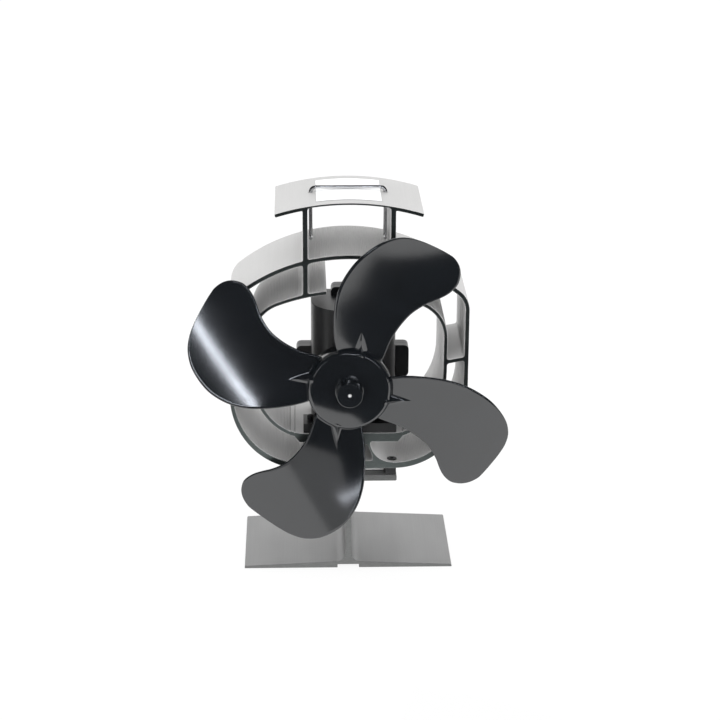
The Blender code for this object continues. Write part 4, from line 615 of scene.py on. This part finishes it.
def notched(outline, line):
    """Cut a narrow line into the lower part of the hole's outline on both sides."""
    for side in (-1, 1):
        for index in range(len(outline)):
            a, b = outline[index - 1], outline[index]
            low = max(a[1], b[1]) < INNER_BOTTOM + STRIP_LINE_ZONE
            if low and (a[0] - side * line) * (b[0] - side * line) < 0:
                break
        share = (side * line - a[0]) / (b[0] - a[0])
        spot = (side * line, a[1] + share * (b[1] - a[1]))
        size = math.dist(a, b)
        run = ((b[0] - a[0]) / size, (b[1] - a[1]) / size)
        half = STRIP_LINE_WIDTH / 2
        floor = (spot[0] + STRIP_LINE_DEPTH * run[1], spot[1] - STRIP_LINE_DEPTH * run[0])
        before = (spot[0] - half * run[0], spot[1] - half * run[1])
        after = (spot[0] + half * run[0], spot[1] + half * run[1])
        rolled = outline[index:] + outline[:index]
        kept = [p for p in rolled if math.dist(p, spot) > STRIP_LINE_CLEARANCE * half]
        outline = kept + [before, floor, after]
    return outline


# Heat sink

def inset(outline, reach):
    """Move an outline's points into the metal on its right."""
    size = len(outline)
    moved = []
    for i in range(size):
        a, b, c = outline[i - 1], outline[i], outline[(i + 1) % size]
        first = Vector((b[0] - a[0], b[1] - a[1])).normalized()
        second = Vector((c[0] - b[0], c[1] - b[1])).normalized()
        away = Vector((first.y + second.y, -first.x - second.x))
        size_now = max(away.length, SHARPEST_CORNER)
        moved.append((b[0] + 2 * reach * away.x / size_now ** 2,
                      b[1] + 2 * reach * away.y / size_now ** 2))
    return moved


def distinct(outline):
    kept = []
    for point in outline:
        if not kept or math.dist(point, kept[-1]) > SAME_POINT_GAP:
            kept.append(point)
    if math.dist(kept[0], kept[-1]) < SAME_POINT_GAP:
        kept.pop()
    return kept


# The cut faces are filled while turned, so that no long edge lies level or upright then
FILL_TURN = Matrix.Rotation(math.radians(17), 3, "Y")


def extrusion(outlines, near, far):
    """Walls with a fine broken edge at both ends, and flat cut faces with holes."""
    shape = bmesh.new()
    caps = {near: [], far: []}
    for number, outline in enumerate(outlines):
        outline = walled(distinct(outline), number > 0)
        drawn_in = inset(outline, CUT_EDGE)
        rings = []
        for y, points in ((near, drawn_in), (near + CUT_EDGE, outline),
                          (far - CUT_EDGE, outline), (far, drawn_in)):
            ring = [shape.verts.new(FILL_TURN @ Vector((x, y, z))) for x, z in points]
            rings.append(ring)
        join_rows(shape, rings)
        for y, ring in ((near, rings[0]), (far, rings[-1])):
            caps[y] += [shape.edges.get(pair) for pair in zip(ring, ring[1:] + ring[:1])]
    for y, edges in caps.items():
        bmesh.ops.triangle_fill(shape, use_beauty=True, use_dissolve=False, edges=edges,
                                normal=FILL_TURN @ Vector((0, 1, 0)))
    bmesh.ops.transform(shape, matrix=FILL_TURN.inverted().to_4x4(), verts=shape.verts)
    return shape


def rod(shape, radius, x, y, low, high):
    bmesh.ops.create_cone(shape, cap_ends=True, segments=ROD_STEPS, radius1=radius, radius2=radius,
                          depth=high - low, matrix=Matrix.Translation((x, y, (low + high) / 2)))


def build_sink():
    shape = extrusion(sink_outlines(), FRONT, BACK)
    piece = new_piece("sink_extrusion", shape, "stand", 24.0)
    holes = bmesh.new()
    middle = (FRONT + BACK) / 2
    for side in (-1, 1):
        rod(holes, WIRE_HOLE_RADIUS, side * HANDLE_HALF, middle, ROOF_TOP - ROOF_HOLE_BELOW,
            ROOF_TOP + ROOF_HOLE_ABOVE)
        for x, y in CLAMP_PLACES:
            rod(holes, COUNTERBORE_RADIUS, side * x, FRONT + y, FLOOR_TOP - COUNTERBORE_DEPTH,
                FLOOR_TOP + COUNTERBORE_DEPTH)
    cut_away(piece, plain_object("sink_holes", holes))
    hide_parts("heat_sink")
    return piece


# Wire handle

def build_handle():
    bar = HANDLE_BAR
    bend = HANDLE_BEND
    toe = 2 * WIRE_RADIUS
    foot = HANDLE_FOOT_HEIGHT
    middle = (FRONT + BACK) / 2
    right = [(HANDLE_HALF - bend + bend * math.sin(a), 0.0, bar - bend + bend * math.cos(a))
             for a in quarter(HANDLE_BEND_STEPS)]
    right += [(HANDLE_HALF, -toe + toe * math.cos(a), foot + toe - toe * math.sin(a))
              for a in quarter(HANDLE_TOE_STEPS)]
    right += [(HANDLE_HALF, -HANDLE_FOOT_LENGTH, foot)]
    path = [(-x, y, z) for x, y, z in reversed(right)] + right
    shape = wire([Vector((x, y + middle, z)) for x, y, z in path], WIRE_RADIUS)
    piece = new_piece("handle_wire", shape, "handle", 50.0)
    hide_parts("carry_handle")
    return piece


def wire(points, radius):
    """A round wire along a path, with slightly smaller ends."""
    shape = bmesh.new()
    rings = []
    up = None
    for index, point in enumerate(points):
        before = points[max(index - 1, 0)]
        after = points[min(index + 1, len(points) - 1)]
        run = (after - before).normalized()
        if up is None:
            up = run.orthogonal().normalized()
        up = (up - run * up.dot(run)).normalized()
        side = run.cross(up)
        end = index in (0, len(points) - 1)
        reach = radius * WIRE_END_SHARE if end else radius
        rings.append([shape.verts.new(point + reach * (math.cos(a) * up + math.sin(a) * side))
                      for a in (math.tau * step / WIRE_SIDES for step in range(WIRE_SIDES))])
    join_rows(shape, rings)
    shape.faces.new(rings[0])
    shape.faces.new(rings[-1])
    return shape


# Fan wheel

def blade_depth(u, t):
    out = u - BLADE_MIDDLE_SHARE * TIP
    slope = BLADE_RAKE * out + BLADE_TWIST * t
    return slope + (BLADE_CAMBER * t * t + BLADE_WARP * t * out) / TIP


def path_at(points, share):
    """A point of a smooth curve through the given ones."""
    last = len(points) - 1
    along = min(max(share, 0.0), 1.0) * last
    index = min(int(along), last - 1)
    s = along - index
    four = [points[max(index - 1, 0)], points[index], points[index + 1],
            points[min(index + 2, last)]]
    return tuple((2 * b + (c - a) * s + (2 * a - 5 * b + 4 * c - d) * s * s
                  + (3 * b - a - 3 * c + d) * s ** 3) / 2 * TIP
                 for a, b, c, d in zip(*four))


def blade_line(share, s):
    """The middle of the blade at a share of its length and a share of its width."""
    low = path_at(TRAILING_SHARES, share)
    high = path_at(LEADING_SHARES, share)
    return low[0] + s * (high[0] - low[0]), low[1] + s * (high[1] - low[1])


def solved(wanted, low, high):
    """Where a rising function passes zero, by halving."""
    for _ in range(HALVINGS):
        middle = (low + high) / 2
        if wanted(middle) < 0:
            low = middle
        else:
            high = middle
    return (low + high) / 2


def root_share(s, radius):
    """The share of its length at which a line of the blade leaves the hub."""
    return solved(lambda share: math.hypot(*blade_line(share, s)) - radius, *ROOT_SEARCH)


def grid_spot(row, s, radius):
    start = root_share(s, radius)
    return blade_line(start + (1 - start) * row, s)


def row_places():
    root = [ROOT_SHARE * (step / ROOT_ROWS) ** ROOT_CROWDING for step in range(ROOT_ROWS)]
    return root + [ROOT_SHARE + (1 - ROOT_SHARE) * step / OUTER_ROWS
                   for step in range(OUTER_ROWS + 1)]


def column_places(width, crest):
    """Columns across a blade, close together near its rounded edges and at the gusset."""
    edge = [min(step / width, WIDEST_EDGE_SHARE) for step in EDGE_STEPS]
    low, high = edge[-1], 1 - edge[-1]
    half = BLADE_COLUMNS // 2
    near = [low + (crest - low) * (1 - (1 - step / half) ** COLUMN_CROWDING)
            for step in range(1, half + 1)]
    far = [crest + (high - crest) * (step / half) ** COLUMN_CROWDING for step in range(1, half)]
    return edge + near + far + [1 - e for e in reversed(edge)]


def round_off(gap):
    """Half thickness at a distance from the blade's edge."""
    half = BLADE_THICKNESS / 2
    s = min(gap / half, 1.0)
    return half * math.sqrt(max(0.0, 1 - (1 - s) ** 2))


def smooth_max(first, second, reach):
    gap = abs(first - second)
    return max(first, second) + max(0.0, reach - gap) ** 2 / (4 * reach)


def hub_face(radius):
    """Forward height of the hub's shoulder, and of a steep slope past its side."""
    low = -HUB_RIM_SETBACK - HUB_DOME
    out = (radius - HUB_RIM) / (HUB_RADIUS - HUB_RIM)
    if out <= 0:
        return low
    if out >= 1:
        return low - HUB_SHOULDER - HUB_SIDE_SLOPE * (radius - HUB_RADIUS)
    turn = math.asin(out ** (1 / HUB_ROUNDING))
    return low - HUB_SHOULDER * (1 - math.cos(turn))


def gusset_rise(u, t, height):
    """Height of the sharp-crested ridge from the hub's rim down onto the blade."""
    along = (u - GUSSET_START) / GUSSET_LENGTH
    if along >= 1:
        return 0.0
    left = 1 - max(along, 0.0)
    wide = GUSSET_HALF_WIDTH * left ** GUSSET_TAPER
    across = min(abs(t - GUSSET_SHARE * TIP) / wide, 1.0)
    return height * left ** GUSSET_FALL * (1 - across) ** 2


def off_middle(u, t, reach):
    """A point of the blade's middle, moved to the front or back along its normal."""
    slope_u = (blade_depth(u + SLOPE_STEP, t) - blade_depth(u - SLOPE_STEP, t)) / (2 * SLOPE_STEP)
    slope_t = (blade_depth(u, t + SLOPE_STEP) - blade_depth(u, t - SLOPE_STEP)) / (2 * SLOPE_STEP)
    size = math.hypot(slope_u, slope_t, 1)
    return u + reach * slope_u / size, t + reach * slope_t / size, blade_depth(u, t) - reach / size


def front_skin(u, t, half, gap):
    """Front of the blade, run smoothly into the hub's shoulder and the gusset."""
    u, t, depth = off_middle(u, t, half)
    radius = math.hypot(u, t)
    plain = -depth
    ridge = plain + gusset_rise(u, t, max(0.0, hub_face(HUB_RIM) - plain) * GUSSET_SHARE_OF_RIM)
    joined = smooth_max(hub_face(radius), ridge, HUB_FILLET) - SKIN_SINK
    weight = min(1.0, gap / EDGE_FADE)
    weight = weight * weight * (3 - 2 * weight)
    return u, t, depth + weight * (-joined - depth)


def back_skin(u, t, half, gap):
    u, t, depth = off_middle(u, t, -half)
    out = max(0.0, math.hypot(u, t) - HUB_RADIUS)
    fillet = 0.0
    if out < BACK_FILLET:
        fillet = BACK_FILLET - math.sqrt(BACK_FILLET ** 2 - (BACK_FILLET - out) ** 2)
    return u, t, depth + fillet * min(1.0, gap / EDGE_FADE)


def blade_points():
    """Rows of front and back points of one blade as (u, t, depth)."""
    rows = []
    tip = path_at(TRAILING_SHARES, 1.0)
    ridge = GUSSET_SHARE * TIP
    for place in row_places():
        pair = []
        width = math.dist(grid_spot(place, 0, FRONT_ROOT), grid_spot(place, 1, FRONT_ROOT))
        crest = solved(lambda s: grid_spot(place, s, FRONT_ROOT)[1] - ridge, *CREST_SEARCH)
        end_gap = math.dist(blade_line(place, 0.0), tip) + TIP_GAP
        for skin, root in ((front_skin, FRONT_ROOT), (back_skin, BACK_ROOT)):
            row = []
            for s in column_places(width, crest):
                u, t = grid_spot(place, s, root)
                gap = min(s, 1 - s) * width
                row.append(skin(u, t, min(round_off(gap), round_off(end_gap)), gap))
            pair.append(row)
        rows.append(pair)
    return rows


def add_blade(shape, index, rows, origin):
    angle = math.tau * index / BLADE_COUNT
    across, up = math.cos(angle), math.sin(angle)
    skins = [[[shape.verts.new((origin[0] - u * across + t * up, origin[1] + depth,
                                origin[2] + u * up + t * across))
               for u, t, depth in pair[skin]] for pair in rows] for skin in (0, 1)]
    edges = [[[row[column] for row in skin] for skin in skins] for column in (0, -1)]
    ends = [[skin[row] for skin in skins] for row in (0, -1)]
    for grid in skins + edges + ends:
        join_rows(shape, grid, rings=False)


def hub_profile():
    """Boss, face, shoulder and skirt of the hub as (radius, forward)."""
    face = -HUB_RIM_SETBACK
    low = face - HUB_DOME
    back = -HUB_BACK
    inside = HUB_RADIUS - HUB_WALL
    behind = face - HUB_DISH - HUB_WALL
    crest = BOSS_RADIUS - BOSS_EDGE
    wall_top = BOSS_REACH - BOSS_EDGE
    wall = wall_top - BOSS_FILLET - face
    foot = BOSS_RADIUS + BOSS_FLARE
    flat = foot + BOSS_FILLET
    profile = [(SHAFT_BORE, BOSS_REACH - BORE_DEPTH), (SHAFT_BORE, BOSS_REACH - BORE_EDGE),
               (SHAFT_BORE + BORE_EDGE, BOSS_REACH), (SHAFT_BORE + 3 * BORE_EDGE, BOSS_REACH),
               (crest - 3 * BORE_EDGE, BOSS_REACH)]
    profile += [(crest + BOSS_EDGE * math.sin(a), wall_top + BOSS_EDGE * math.cos(a))
                for a in quarter(5)]
    profile += [(BOSS_RADIUS + BOSS_FLARE * s, wall_top - wall * s)
                for s in (step / BOSS_RINGS for step in range(1, BOSS_RINGS + 1))]
    profile += [(flat - BOSS_FILLET * math.cos(a), face + BOSS_FILLET * (1 - math.sin(a)))
                for a in quarter(6)[1:-1]]
    profile += [(r, face - HUB_DOME * max(0.0, (r - DOME_START) / (HUB_RIM - DOME_START)) ** 2)
                for r in (flat + (HUB_RIM - flat) * step / FACE_RINGS
                          for step in range(FACE_RINGS + 1))]
    profile += [(HUB_RIM + (HUB_RADIUS - HUB_RIM) * math.sin(a) ** HUB_ROUNDING,
                 low - HUB_SHOULDER * (1 - math.cos(a)))
                for a in quarter(12)[1:]]
    profile += [(HUB_RADIUS, low - HUB_SHOULDER - HUB_SIDE_DROP),
                (HUB_RADIUS, back + HUB_BACK_EDGE), (HUB_RADIUS - HUB_BACK_EDGE, back),
                (inside + HUB_BACK_EDGE, back), (inside, back + HUB_BACK_EDGE),
                (inside, behind - HUB_WALL), (inside - HUB_WALL, behind),
                (foot, behind - HUB_WALL / 2), (REAR_BOSS_RADIUS, behind - HUB_WALL),
                (REAR_BOSS_RADIUS, -REAR_BOSS_SETBACK), (SHAFT_BORE, -REAR_BOSS_SETBACK)]
    return profile


def build_wheel():
    origin = (0.0, FRONT + WHEEL_SETBACK, AXIS_HEIGHT)
    shape = bmesh.new()
    lathe(shape, hub_profile(), origin, "y", HUB_STEPS, closed=True)
    rows = blade_points()
    for index in range(BLADE_COUNT):
        add_blade(shape, index, rows, origin)
    piece = new_piece("fan_wheel_moulding", shape, "rotor", 50.0)
    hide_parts("fan_wheel")
    return piece


# Pan-head screws

def build_pan_screw(node):
    low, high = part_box(node)
    x, y = (low.x + high.x) / 2, (low.y + high.y) / 2
    top = high.z
    base = top - PAN_HEAD_HEIGHT
    profile = [(SCREW_BREAK, low.z), (SCREW_SHANK_RADIUS, low.z), (SCREW_SHANK_RADIUS, base),
               (PAN_HEAD_RADIUS - SCREW_BREAK, base)]
    profile += [(PAN_HEAD_RADIUS - PAN_HEAD_ROUNDING * (1 - math.cos(a)),
                 top - PAN_HEAD_ROUNDING * (1 - math.sin(a)))
                for a in quarter(6)]
    profile += [(SCREW_BREAK, top)]
    shape = bmesh.new()
    rings = lathe(shape, profile, (x, y, 0), "z", SCREW_STEPS)
    shape.faces.new(rings[0])
    shape.faces.new(rings[-1])
    piece = new_piece("pan_" + node, shape, "stand", 40.0)
    for reach_x, reach_y in ((CROSS_HALF_WIDTH, CROSS_REACH), (CROSS_REACH, CROSS_HALF_WIDTH)):
        slot = bmesh.new()
        bmesh.ops.create_cube(slot, size=2)
        for vert in slot.verts:
            above = vert.co.z > 0
            taper = 1.0 if above else CROSS_TAPER_SHARE
            vert.co = Vector((x + vert.co.x * reach_x * taper, y + vert.co.y * reach_y * taper,
                              top + (CROSS_OVERRUN if above else -CROSS_DEPTH)))
        cut_away(piece, plain_object("cross_cut", slot))
    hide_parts(node)
    return piece


# Other solids

def dress_node(name):
    """Weld and break the edges of a solid, so that they catch the light."""
    node = frame["nodes"][name]
    weld = node.modifiers.new("weld", "WELD")
    weld.merge_threshold = WELD_GAP
    bevel = node.modifiers.new("edges", "BEVEL")
    bevel.width = EDGE_WIDTH
    bevel.segments = EDGE_SEGMENTS
    bevel.limit_method = "ANGLE"
    bevel.angle_limit = math.radians(EDGE_ANGLE)
    bevel.use_clamp_overlap = True
    for face in node.data.polygons:
        face.use_smooth = True
    even = node.modifiers.new("shading", "WEIGHTED_NORMAL")
    even.keep_sharp = False
    even.weight = SHADING_WEIGHT


# Materials

class Nodes:
    """Builds the node tree of a material, or of the world."""

    def __init__(self, owner):
        owner.use_nodes = True
        self.owner = owner
        self.tree = owner.node_tree
        self.shader = self.tree.nodes.get("Principled BSDF") or self.tree.nodes["Background"]

    def fill(self, node, inputs):
        """Fill inputs of a node, by name or number, with values or outputs of other nodes."""
        for key, value in inputs.items():
            if isinstance(value, bpy.types.NodeSocket):
                self.tree.links.new(value, node.inputs[key])
            else:
                node.inputs[key].default_value = value

    def finish(self, inputs):
        """Fill inputs of the shader."""
        self.fill(self.shader, inputs)

    def add(self, kind, inputs, **settings):
        node = self.tree.nodes.new(kind)
        for key, value in settings.items():
            setattr(node, key, value)
        self.fill(node, inputs)
        return node

    def noise(self, scale, detail=3.0, rough=0.55, distortion=0.0):
        """Noise in the object's coordinates, stretched per axis."""
        source = self.add("ShaderNodeTexCoord", {})
        place = self.add("ShaderNodeMapping", {"Vector": source.outputs["Object"], "Scale": scale})
        node = self.add("ShaderNodeTexNoise",
                        {"Vector": place.outputs["Vector"], "Scale": 1.0, "Detail": detail,
                         "Roughness": rough, "Distortion": distortion})
        return node.outputs["Fac"]

    def spread(self, source, low, high, start=0.3, end=0.7):
        """Stretch the values from start to end over the range from low to high."""
        node = self.add("ShaderNodeMapRange", {"Value": source, "From Min": start, "From Max": end,
                                               "To Min": low, "To Max": high})
        return node.outputs["Result"]

    def blend(self, factor, first, second):
        node = self.add("ShaderNodeMix", {"Factor": factor, "A": first, "B": second},
                        data_type="RGBA")
        return node.outputs["Result"]

    def math(self, operation, *values):
        node = self.add("ShaderNodeMath", dict(enumerate(values)), operation=operation)
        return node.outputs["Value"]

    def parts(self, kind):
        """The X, Y and Z of a texture coordinate."""
        source = self.add("ShaderNodeTexCoord", {})
        return self.add("ShaderNodeSeparateXYZ", {"Vector": source.outputs[kind]}).outputs

    def varied(self, source, colour, darker, lighter):
        """A colour that a texture makes darker and lighter."""
        return self.blend(self.spread(source, 0.0, 1.0), shade(colour, darker),
                          shade(colour, lighter))

    def bump(self, height, strength, distance):
        node = self.add("ShaderNodeBump",
                        {"Height": height, "Strength": strength, "Distance": distance})
        self.finish({"Normal": node.outputs["Normal"]})


def new_finish(name):
    return Nodes(bpy.data.materials.new(name))


def shade(colour, factor):
    return (*(min(1.0, c * factor) for c in colour), 1.0)


def grained(name, colour, variation, metallic, rough, grain=FINE_GRAIN, bump=0.1, depth=0.00003):
    """A finish with a fine grain: colour and roughness vary and the surface is not quite even."""
    nodes = new_finish(name)
    tint = nodes.varied(nodes.noise(grain), colour, 1 - variation, 1 + variation)
    broad = nodes.noise(tuple(s / BROAD_RATIO for s in grain), detail=2.0)
    nodes.finish({"Base Color": tint, "Roughness": nodes.spread(broad, *rough),
                  "Metallic": metallic})
    fine = nodes.noise(tuple(s * BUMP_RATIO for s in grain), detail=2.0)
    nodes.bump(fine, bump, depth)
    return nodes.owner


def extruded_metal(name, colour, shaded_end_colour, rough, metallic):
    """Anodised extrusion: die lines along Y, a matt grain, and sawn end faces with saw marks, whose
    darker colour is painted shade standing in for the dark room they mirror.
    """
    nodes = new_finish(name)
    lines = nodes.noise(DIE_LINES, detail=4.0, rough=0.6)
    specks = nodes.noise(SPECKS, detail=2.0)
    wall = nodes.varied(lines, colour, 0.96, 1.03)
    wall = nodes.blend(nodes.spread(specks, 0.0, 0.35, 0.35, 0.75), wall, shade(colour, 0.72))
    saw = nodes.noise(SAW_MARKS, detail=4.0, rough=0.65, distortion=0.4)
    # Painted shade: the end faces take a darker colour in place of the dark room they face; the saw
    # marks vary it
    face = nodes.varied(saw, shaded_end_colour, 0.82, 1.16)
    cut = nodes.spread(nodes.math("ABSOLUTE", nodes.parts("Normal")["Y"]), 0.0, 1.0, *CUT_SLOPE)
    broad = nodes.noise(METAL_PATCHES, detail=2.0)
    polish = nodes.math("MULTIPLY", cut, CUT_POLISH)
    nodes.finish({"Base Color": nodes.blend(cut, wall, face),
                  "Roughness": nodes.math("ADD", nodes.spread(broad, *rough), polish),
                  "Metallic": nodes.spread(cut, metallic, 1.0, 0.0, 1.0)})
    grit = nodes.math("ADD", lines, nodes.math("MULTIPLY", specks, SPECK_SHARE))
    nodes.bump(grit, strength=0.07, distance=0.00002)
    return nodes.owner


def moulded_plastic(name, colour, rough, level, depth):
    """Moulded black plastic with a very fine grain and faint flow marks."""
    nodes = new_finish(name)
    flow = nodes.noise(FLOW_MARKS, detail=3.0, rough=0.5, distortion=0.6)
    smudge = nodes.noise(SMUDGES, detail=2.0)
    nodes.finish({"Base Color": nodes.varied(flow, colour, 0.86, 1.18),
                  "Roughness": nodes.spread(smudge, *rough),
                  "Specular IOR Level": level, "IOR": PLASTIC_IOR})
    nodes.bump(nodes.noise(MOULD_GRAIN, detail=2.0), strength=0.12, distance=depth)
    return nodes.owner


def label_film():
    nodes = new_finish("label_film")
    fibre = nodes.noise(FIBRES, detail=4.0)
    wear = nodes.noise(LABEL_WEAR, detail=3.0)
    nodes.finish({"Base Color": nodes.blend(nodes.spread(fibre, 0.0, 1.0), LABEL_DARK, LABEL_LIGHT),
                  "Roughness": nodes.spread(wear, 0.34, 0.48)})
    nodes.bump(fibre, strength=0.06, distance=0.00003)
    return nodes.owner


def make_materials():
    """A finish for every slot.

    grained takes the colour, how far it varies, the metallic share, the range of roughness and,
    where they differ from the usual, the grain with the strength and depth of its bumps. The
    others take the colours, the range of roughness, and how metallic or how glossy they are.
    """
    return {
        # The second colour of each extrusion is painted shade for its sawn end faces, darker than
        # the metal itself
        "anodised_aluminium": extruded_metal("anodised_extrusion", (0.50, 0.497, 0.493),
                                             (0.150, 0.170, 0.166), (0.40, 0.48), 0.2),
        "bracket_aluminium": extruded_metal("bracket_extrusion", (0.33, 0.33, 0.33),
                                            (0.210, 0.214, 0.211), (0.42, 0.50), 0.7),
        "black_plastic": moulded_plastic("case_plastic", (0.007, 0.0074, 0.008), (0.27, 0.37),
                                         0.46, 0.00006),
        "wheel_plastic": moulded_plastic("wheel_plastic", (0.0045, 0.0055, 0.0068), (0.09, 0.12),
                                         1.0, 0.00002),
        "steel": grained("bright_wire", (0.60, 0.60, 0.61), 0.05, 1.0, (0.12, 0.22),
                         DRAWN_GRAIN, 0.05, 0.00002),
        "turned_end": grained("turned_end", (0.55, 0.55, 0.55), 0.05, 0.3, (0.4, 0.5),
                              bump=0.05, depth=0.00002),
        "black_steel": grained("blackened_steel", (0.018, 0.018, 0.019), 0.25, 0.6, (0.28, 0.42)),
        "white_ceramic": grained("alumina", (0.80, 0.80, 0.78), 0.03, 0.0, (0.45, 0.6), bump=0.12),
        "graphite": grained("graphite_foil", (0.035, 0.035, 0.04), 0.25, 0.2, (0.4, 0.6), bump=0.15),
        "green_sealant": grained("sealant", (0.022, 0.045, 0.040), 0.18, 0.0, (0.4, 0.6),
                                 COARSE_GRAIN, 0.3, 0.0001),
        "telluride": grained("telluride", (0.30, 0.30, 0.33), 0.12, 0.9, (0.35, 0.5)),
        "brass": grained("brass", (0.70, 0.50, 0.22), 0.06, 1.0, (0.25, 0.4), DRAWN_GRAIN, 0.08),
        "copper": grained("enamelled_copper", (0.62, 0.24, 0.12), 0.12, 0.85, (0.25, 0.4),
                          WOUND_GRAIN, 0.25, 0.00008),
        "ferrite": grained("ferrite", (0.05, 0.05, 0.055), 0.15, 0.3, (0.5, 0.7)),
        "bronze": grained("bronze", (0.45, 0.30, 0.14), 0.10, 1.0, (0.35, 0.5), bump=0.15),
        "white_nylon": grained("nylon", (0.74, 0.73, 0.68), 0.04, 0.0, (0.4, 0.55), depth=0.00004),
        "red_sleeve": grained("red_sleeve", (0.50, 0.022, 0.016), 0.08, 0.0, (0.35, 0.5),
                              depth=0.00004),
        "black_sleeve": grained("black_sleeve", (0.012, 0.012, 0.012), 0.15, 0.0, (0.35, 0.5),
                                depth=0.00004),
        "black_rubber": grained("rubber", (0.015, 0.015, 0.015), 0.2, 0.0, (0.6, 0.8),
                                bump=0.2, depth=0.00005),
        "label_white": label_film(),
    }


def paint(objects, materials):
    """Give every piece and every shown node the finish of its slot."""
    for obj, slot in objects:
        obj.data.materials.clear()
        obj.data.materials.append(materials[slot])


# Stage, light and camera

def build_floor():
    mesh = bpy.data.meshes.new("floor")
    near = [(x, y, 0) for x, y in FLOOR_FRONT]
    far = [(x, FLOOR_BACK, 0) for x, _ in reversed(FLOOR_FRONT)]
    size = len(near)
    mesh.from_pydata(near + far, [], [(i, i + 1, 2 * size - 2 - i, 2 * size - 1 - i)
                                      for i in range(size - 1)])
    floor = new_object("floor", mesh)
    floor.location.z = -FLOOR_DROP
    nodes = new_finish("floor_paper")
    nodes.finish({"Base Color": (FLOOR_GREY, FLOOR_GREY, FLOOR_GREY, 1),
                  "Roughness": FLOOR_ROUGHNESS, "Specular IOR Level": 0.0})
    rays = nodes.add("ShaderNodeLightPath", {}).outputs
    shown = rays[SHOWN_RAYS[0]]
    for kind in SHOWN_RAYS[1:]:
        shown = nodes.math("MAXIMUM", shown, rays[kind])
    glow = nodes.add("ShaderNodeEmission", {})
    mix = nodes.add("ShaderNodeMixShader", {"Fac": nodes.math("MULTIPLY", shown, FLOOR_SHOWN),
                                            1: nodes.shader.outputs["BSDF"],
                                            2: glow.outputs["Emission"]})
    nodes.fill(nodes.tree.nodes["Material Output"], {"Surface": mix.outputs["Shader"]})
    mesh.materials.append(nodes.owner)


def build_world():
    """White behind the object, a dim room on the camera's side, even light for matt surfaces."""
    world = bpy.data.worlds.new("studio")
    bpy.context.scene.world = world
    nodes = Nodes(world)
    rays = nodes.add("ShaderNodeLightPath", {}).outputs
    way = nodes.parts("Generated")
    side = nodes.math("MULTIPLY", nodes.math("ABSOLUTE", way["X"]), PANEL_SPREAD)
    behind = nodes.math("SUBTRACT", way["Y"], side)
    panel = nodes.spread(behind, WORLD_DARK, 1.0, -PANEL_EDGE, PANEL_EDGE)
    panel.node.interpolation_type = "SMOOTHSTEP"
    white = nodes.math("MAXIMUM", rays["Is Camera Ray"], rays["Is Transmission Ray"])
    glossy = nodes.math("MULTIPLY", rays["Is Glossy Ray"], panel)
    rise = nodes.math("MULTIPLY", nodes.math("ABSOLUTE", way["Z"]), -ZENITH_DIMMING * WORLD_LIGHT)
    even = nodes.math("MULTIPLY", rays["Is Diffuse Ray"], nodes.math("ADD", rise, WORLD_LIGHT))
    level = nodes.math("MAXIMUM", nodes.math("MAXIMUM", white, glossy), even)
    nodes.finish({"Color": level, "Strength": 1.0})


def soft_light(name, azimuth, elevation, distance, width, height, radiance, colour=(1, 1, 1),
               roll=0.0):
    """A soft box in a direction from the object: azimuth in degrees from -Y towards +X."""
    a, e = math.radians(azimuth), math.radians(elevation)
    way = Vector((math.sin(a) * math.cos(e), -math.cos(a) * math.cos(e), math.sin(e)))
    light = bpy.data.lights.new(name, "AREA")
    light.shape = "RECTANGLE"
    light.size = width
    light.size_y = height
    light.energy = radiance * math.pi * width * height
    light.color = colour
    lamp = new_object(name, light)
    lamp.location = AIM + way * distance
    turn = (-way).to_track_quat("-Z", "Y").to_matrix() @ Matrix.Rotation(math.radians(roll), 3, "Z")
    lamp.rotation_euler = turn.to_euler()


def build_lights():
    soft_light("window_left", azimuth=-31, elevation=-9, distance=1.5, width=0.9, height=0.42,
               radiance=0.5)
    soft_light("strip", azimuth=9.4, elevation=15.9, distance=1.6, width=0.042, height=1.35,
               radiance=16.0, colour=LAMP_BLUE, roll=49)
    soft_light("strip_left", azimuth=-23.2, elevation=2.2, distance=1.6, width=0.04, height=0.42,
               radiance=5.5, colour=LAMP_BLUE, roll=-35)
    soft_light("overhead", azimuth=180, elevation=68, distance=1.5, width=1.5, height=1.1,
               radiance=0.5)


def build_camera():
    yaw, pitch, roll = CAMERA_YAW, CAMERA_PITCH, CAMERA_ROLL
    ahead = Vector((math.sin(yaw) * math.cos(pitch), math.cos(yaw) * math.cos(pitch),
                    -math.sin(pitch)))
    level = Vector((math.cos(yaw), -math.sin(yaw), 0))
    rise = level.cross(ahead)
    right = math.cos(roll) * level + math.sin(roll) * rise
    up = -math.sin(roll) * level + math.cos(roll) * rise
    turn = Matrix((right, up, -ahead)).transposed()
    data = bpy.data.cameras.new("camera")
    data.lens = CAMERA_LENS
    data.sensor_width = CAMERA_SENSOR
    data.sensor_fit = "HORIZONTAL"
    data.clip_start = CLIP_START
    camera = new_object("camera", data)
    camera.matrix_world = Matrix.Translation(CAMERA_PLACE) @ turn.to_4x4()
    bpy.context.scene.camera = camera


def main():
    pieces = [(build_sink(), "anodised_aluminium"), (build_wheel(), "wheel_plastic"),
              (build_handle(), "steel")]
    pieces += [(build_pan_screw(node), "black_steel") for node in FOOT_SCREWS]
    slots = {part["node"]: part["material_slot"] for part in frame["record"]["subparts"]}
    for name in frame["nodes"]:
        if name in REPLACED:
            continue
        dress_node(name)
        pieces.append((frame["nodes"][name],
                       "turned_end" if name == "motor_shaft" else slots[name]))
    paint(pieces, make_materials())
    build_floor()
    build_world()
    build_lights()
    build_camera()
    bpy.context.scene.view_settings.view_transform = "Standard"


main()
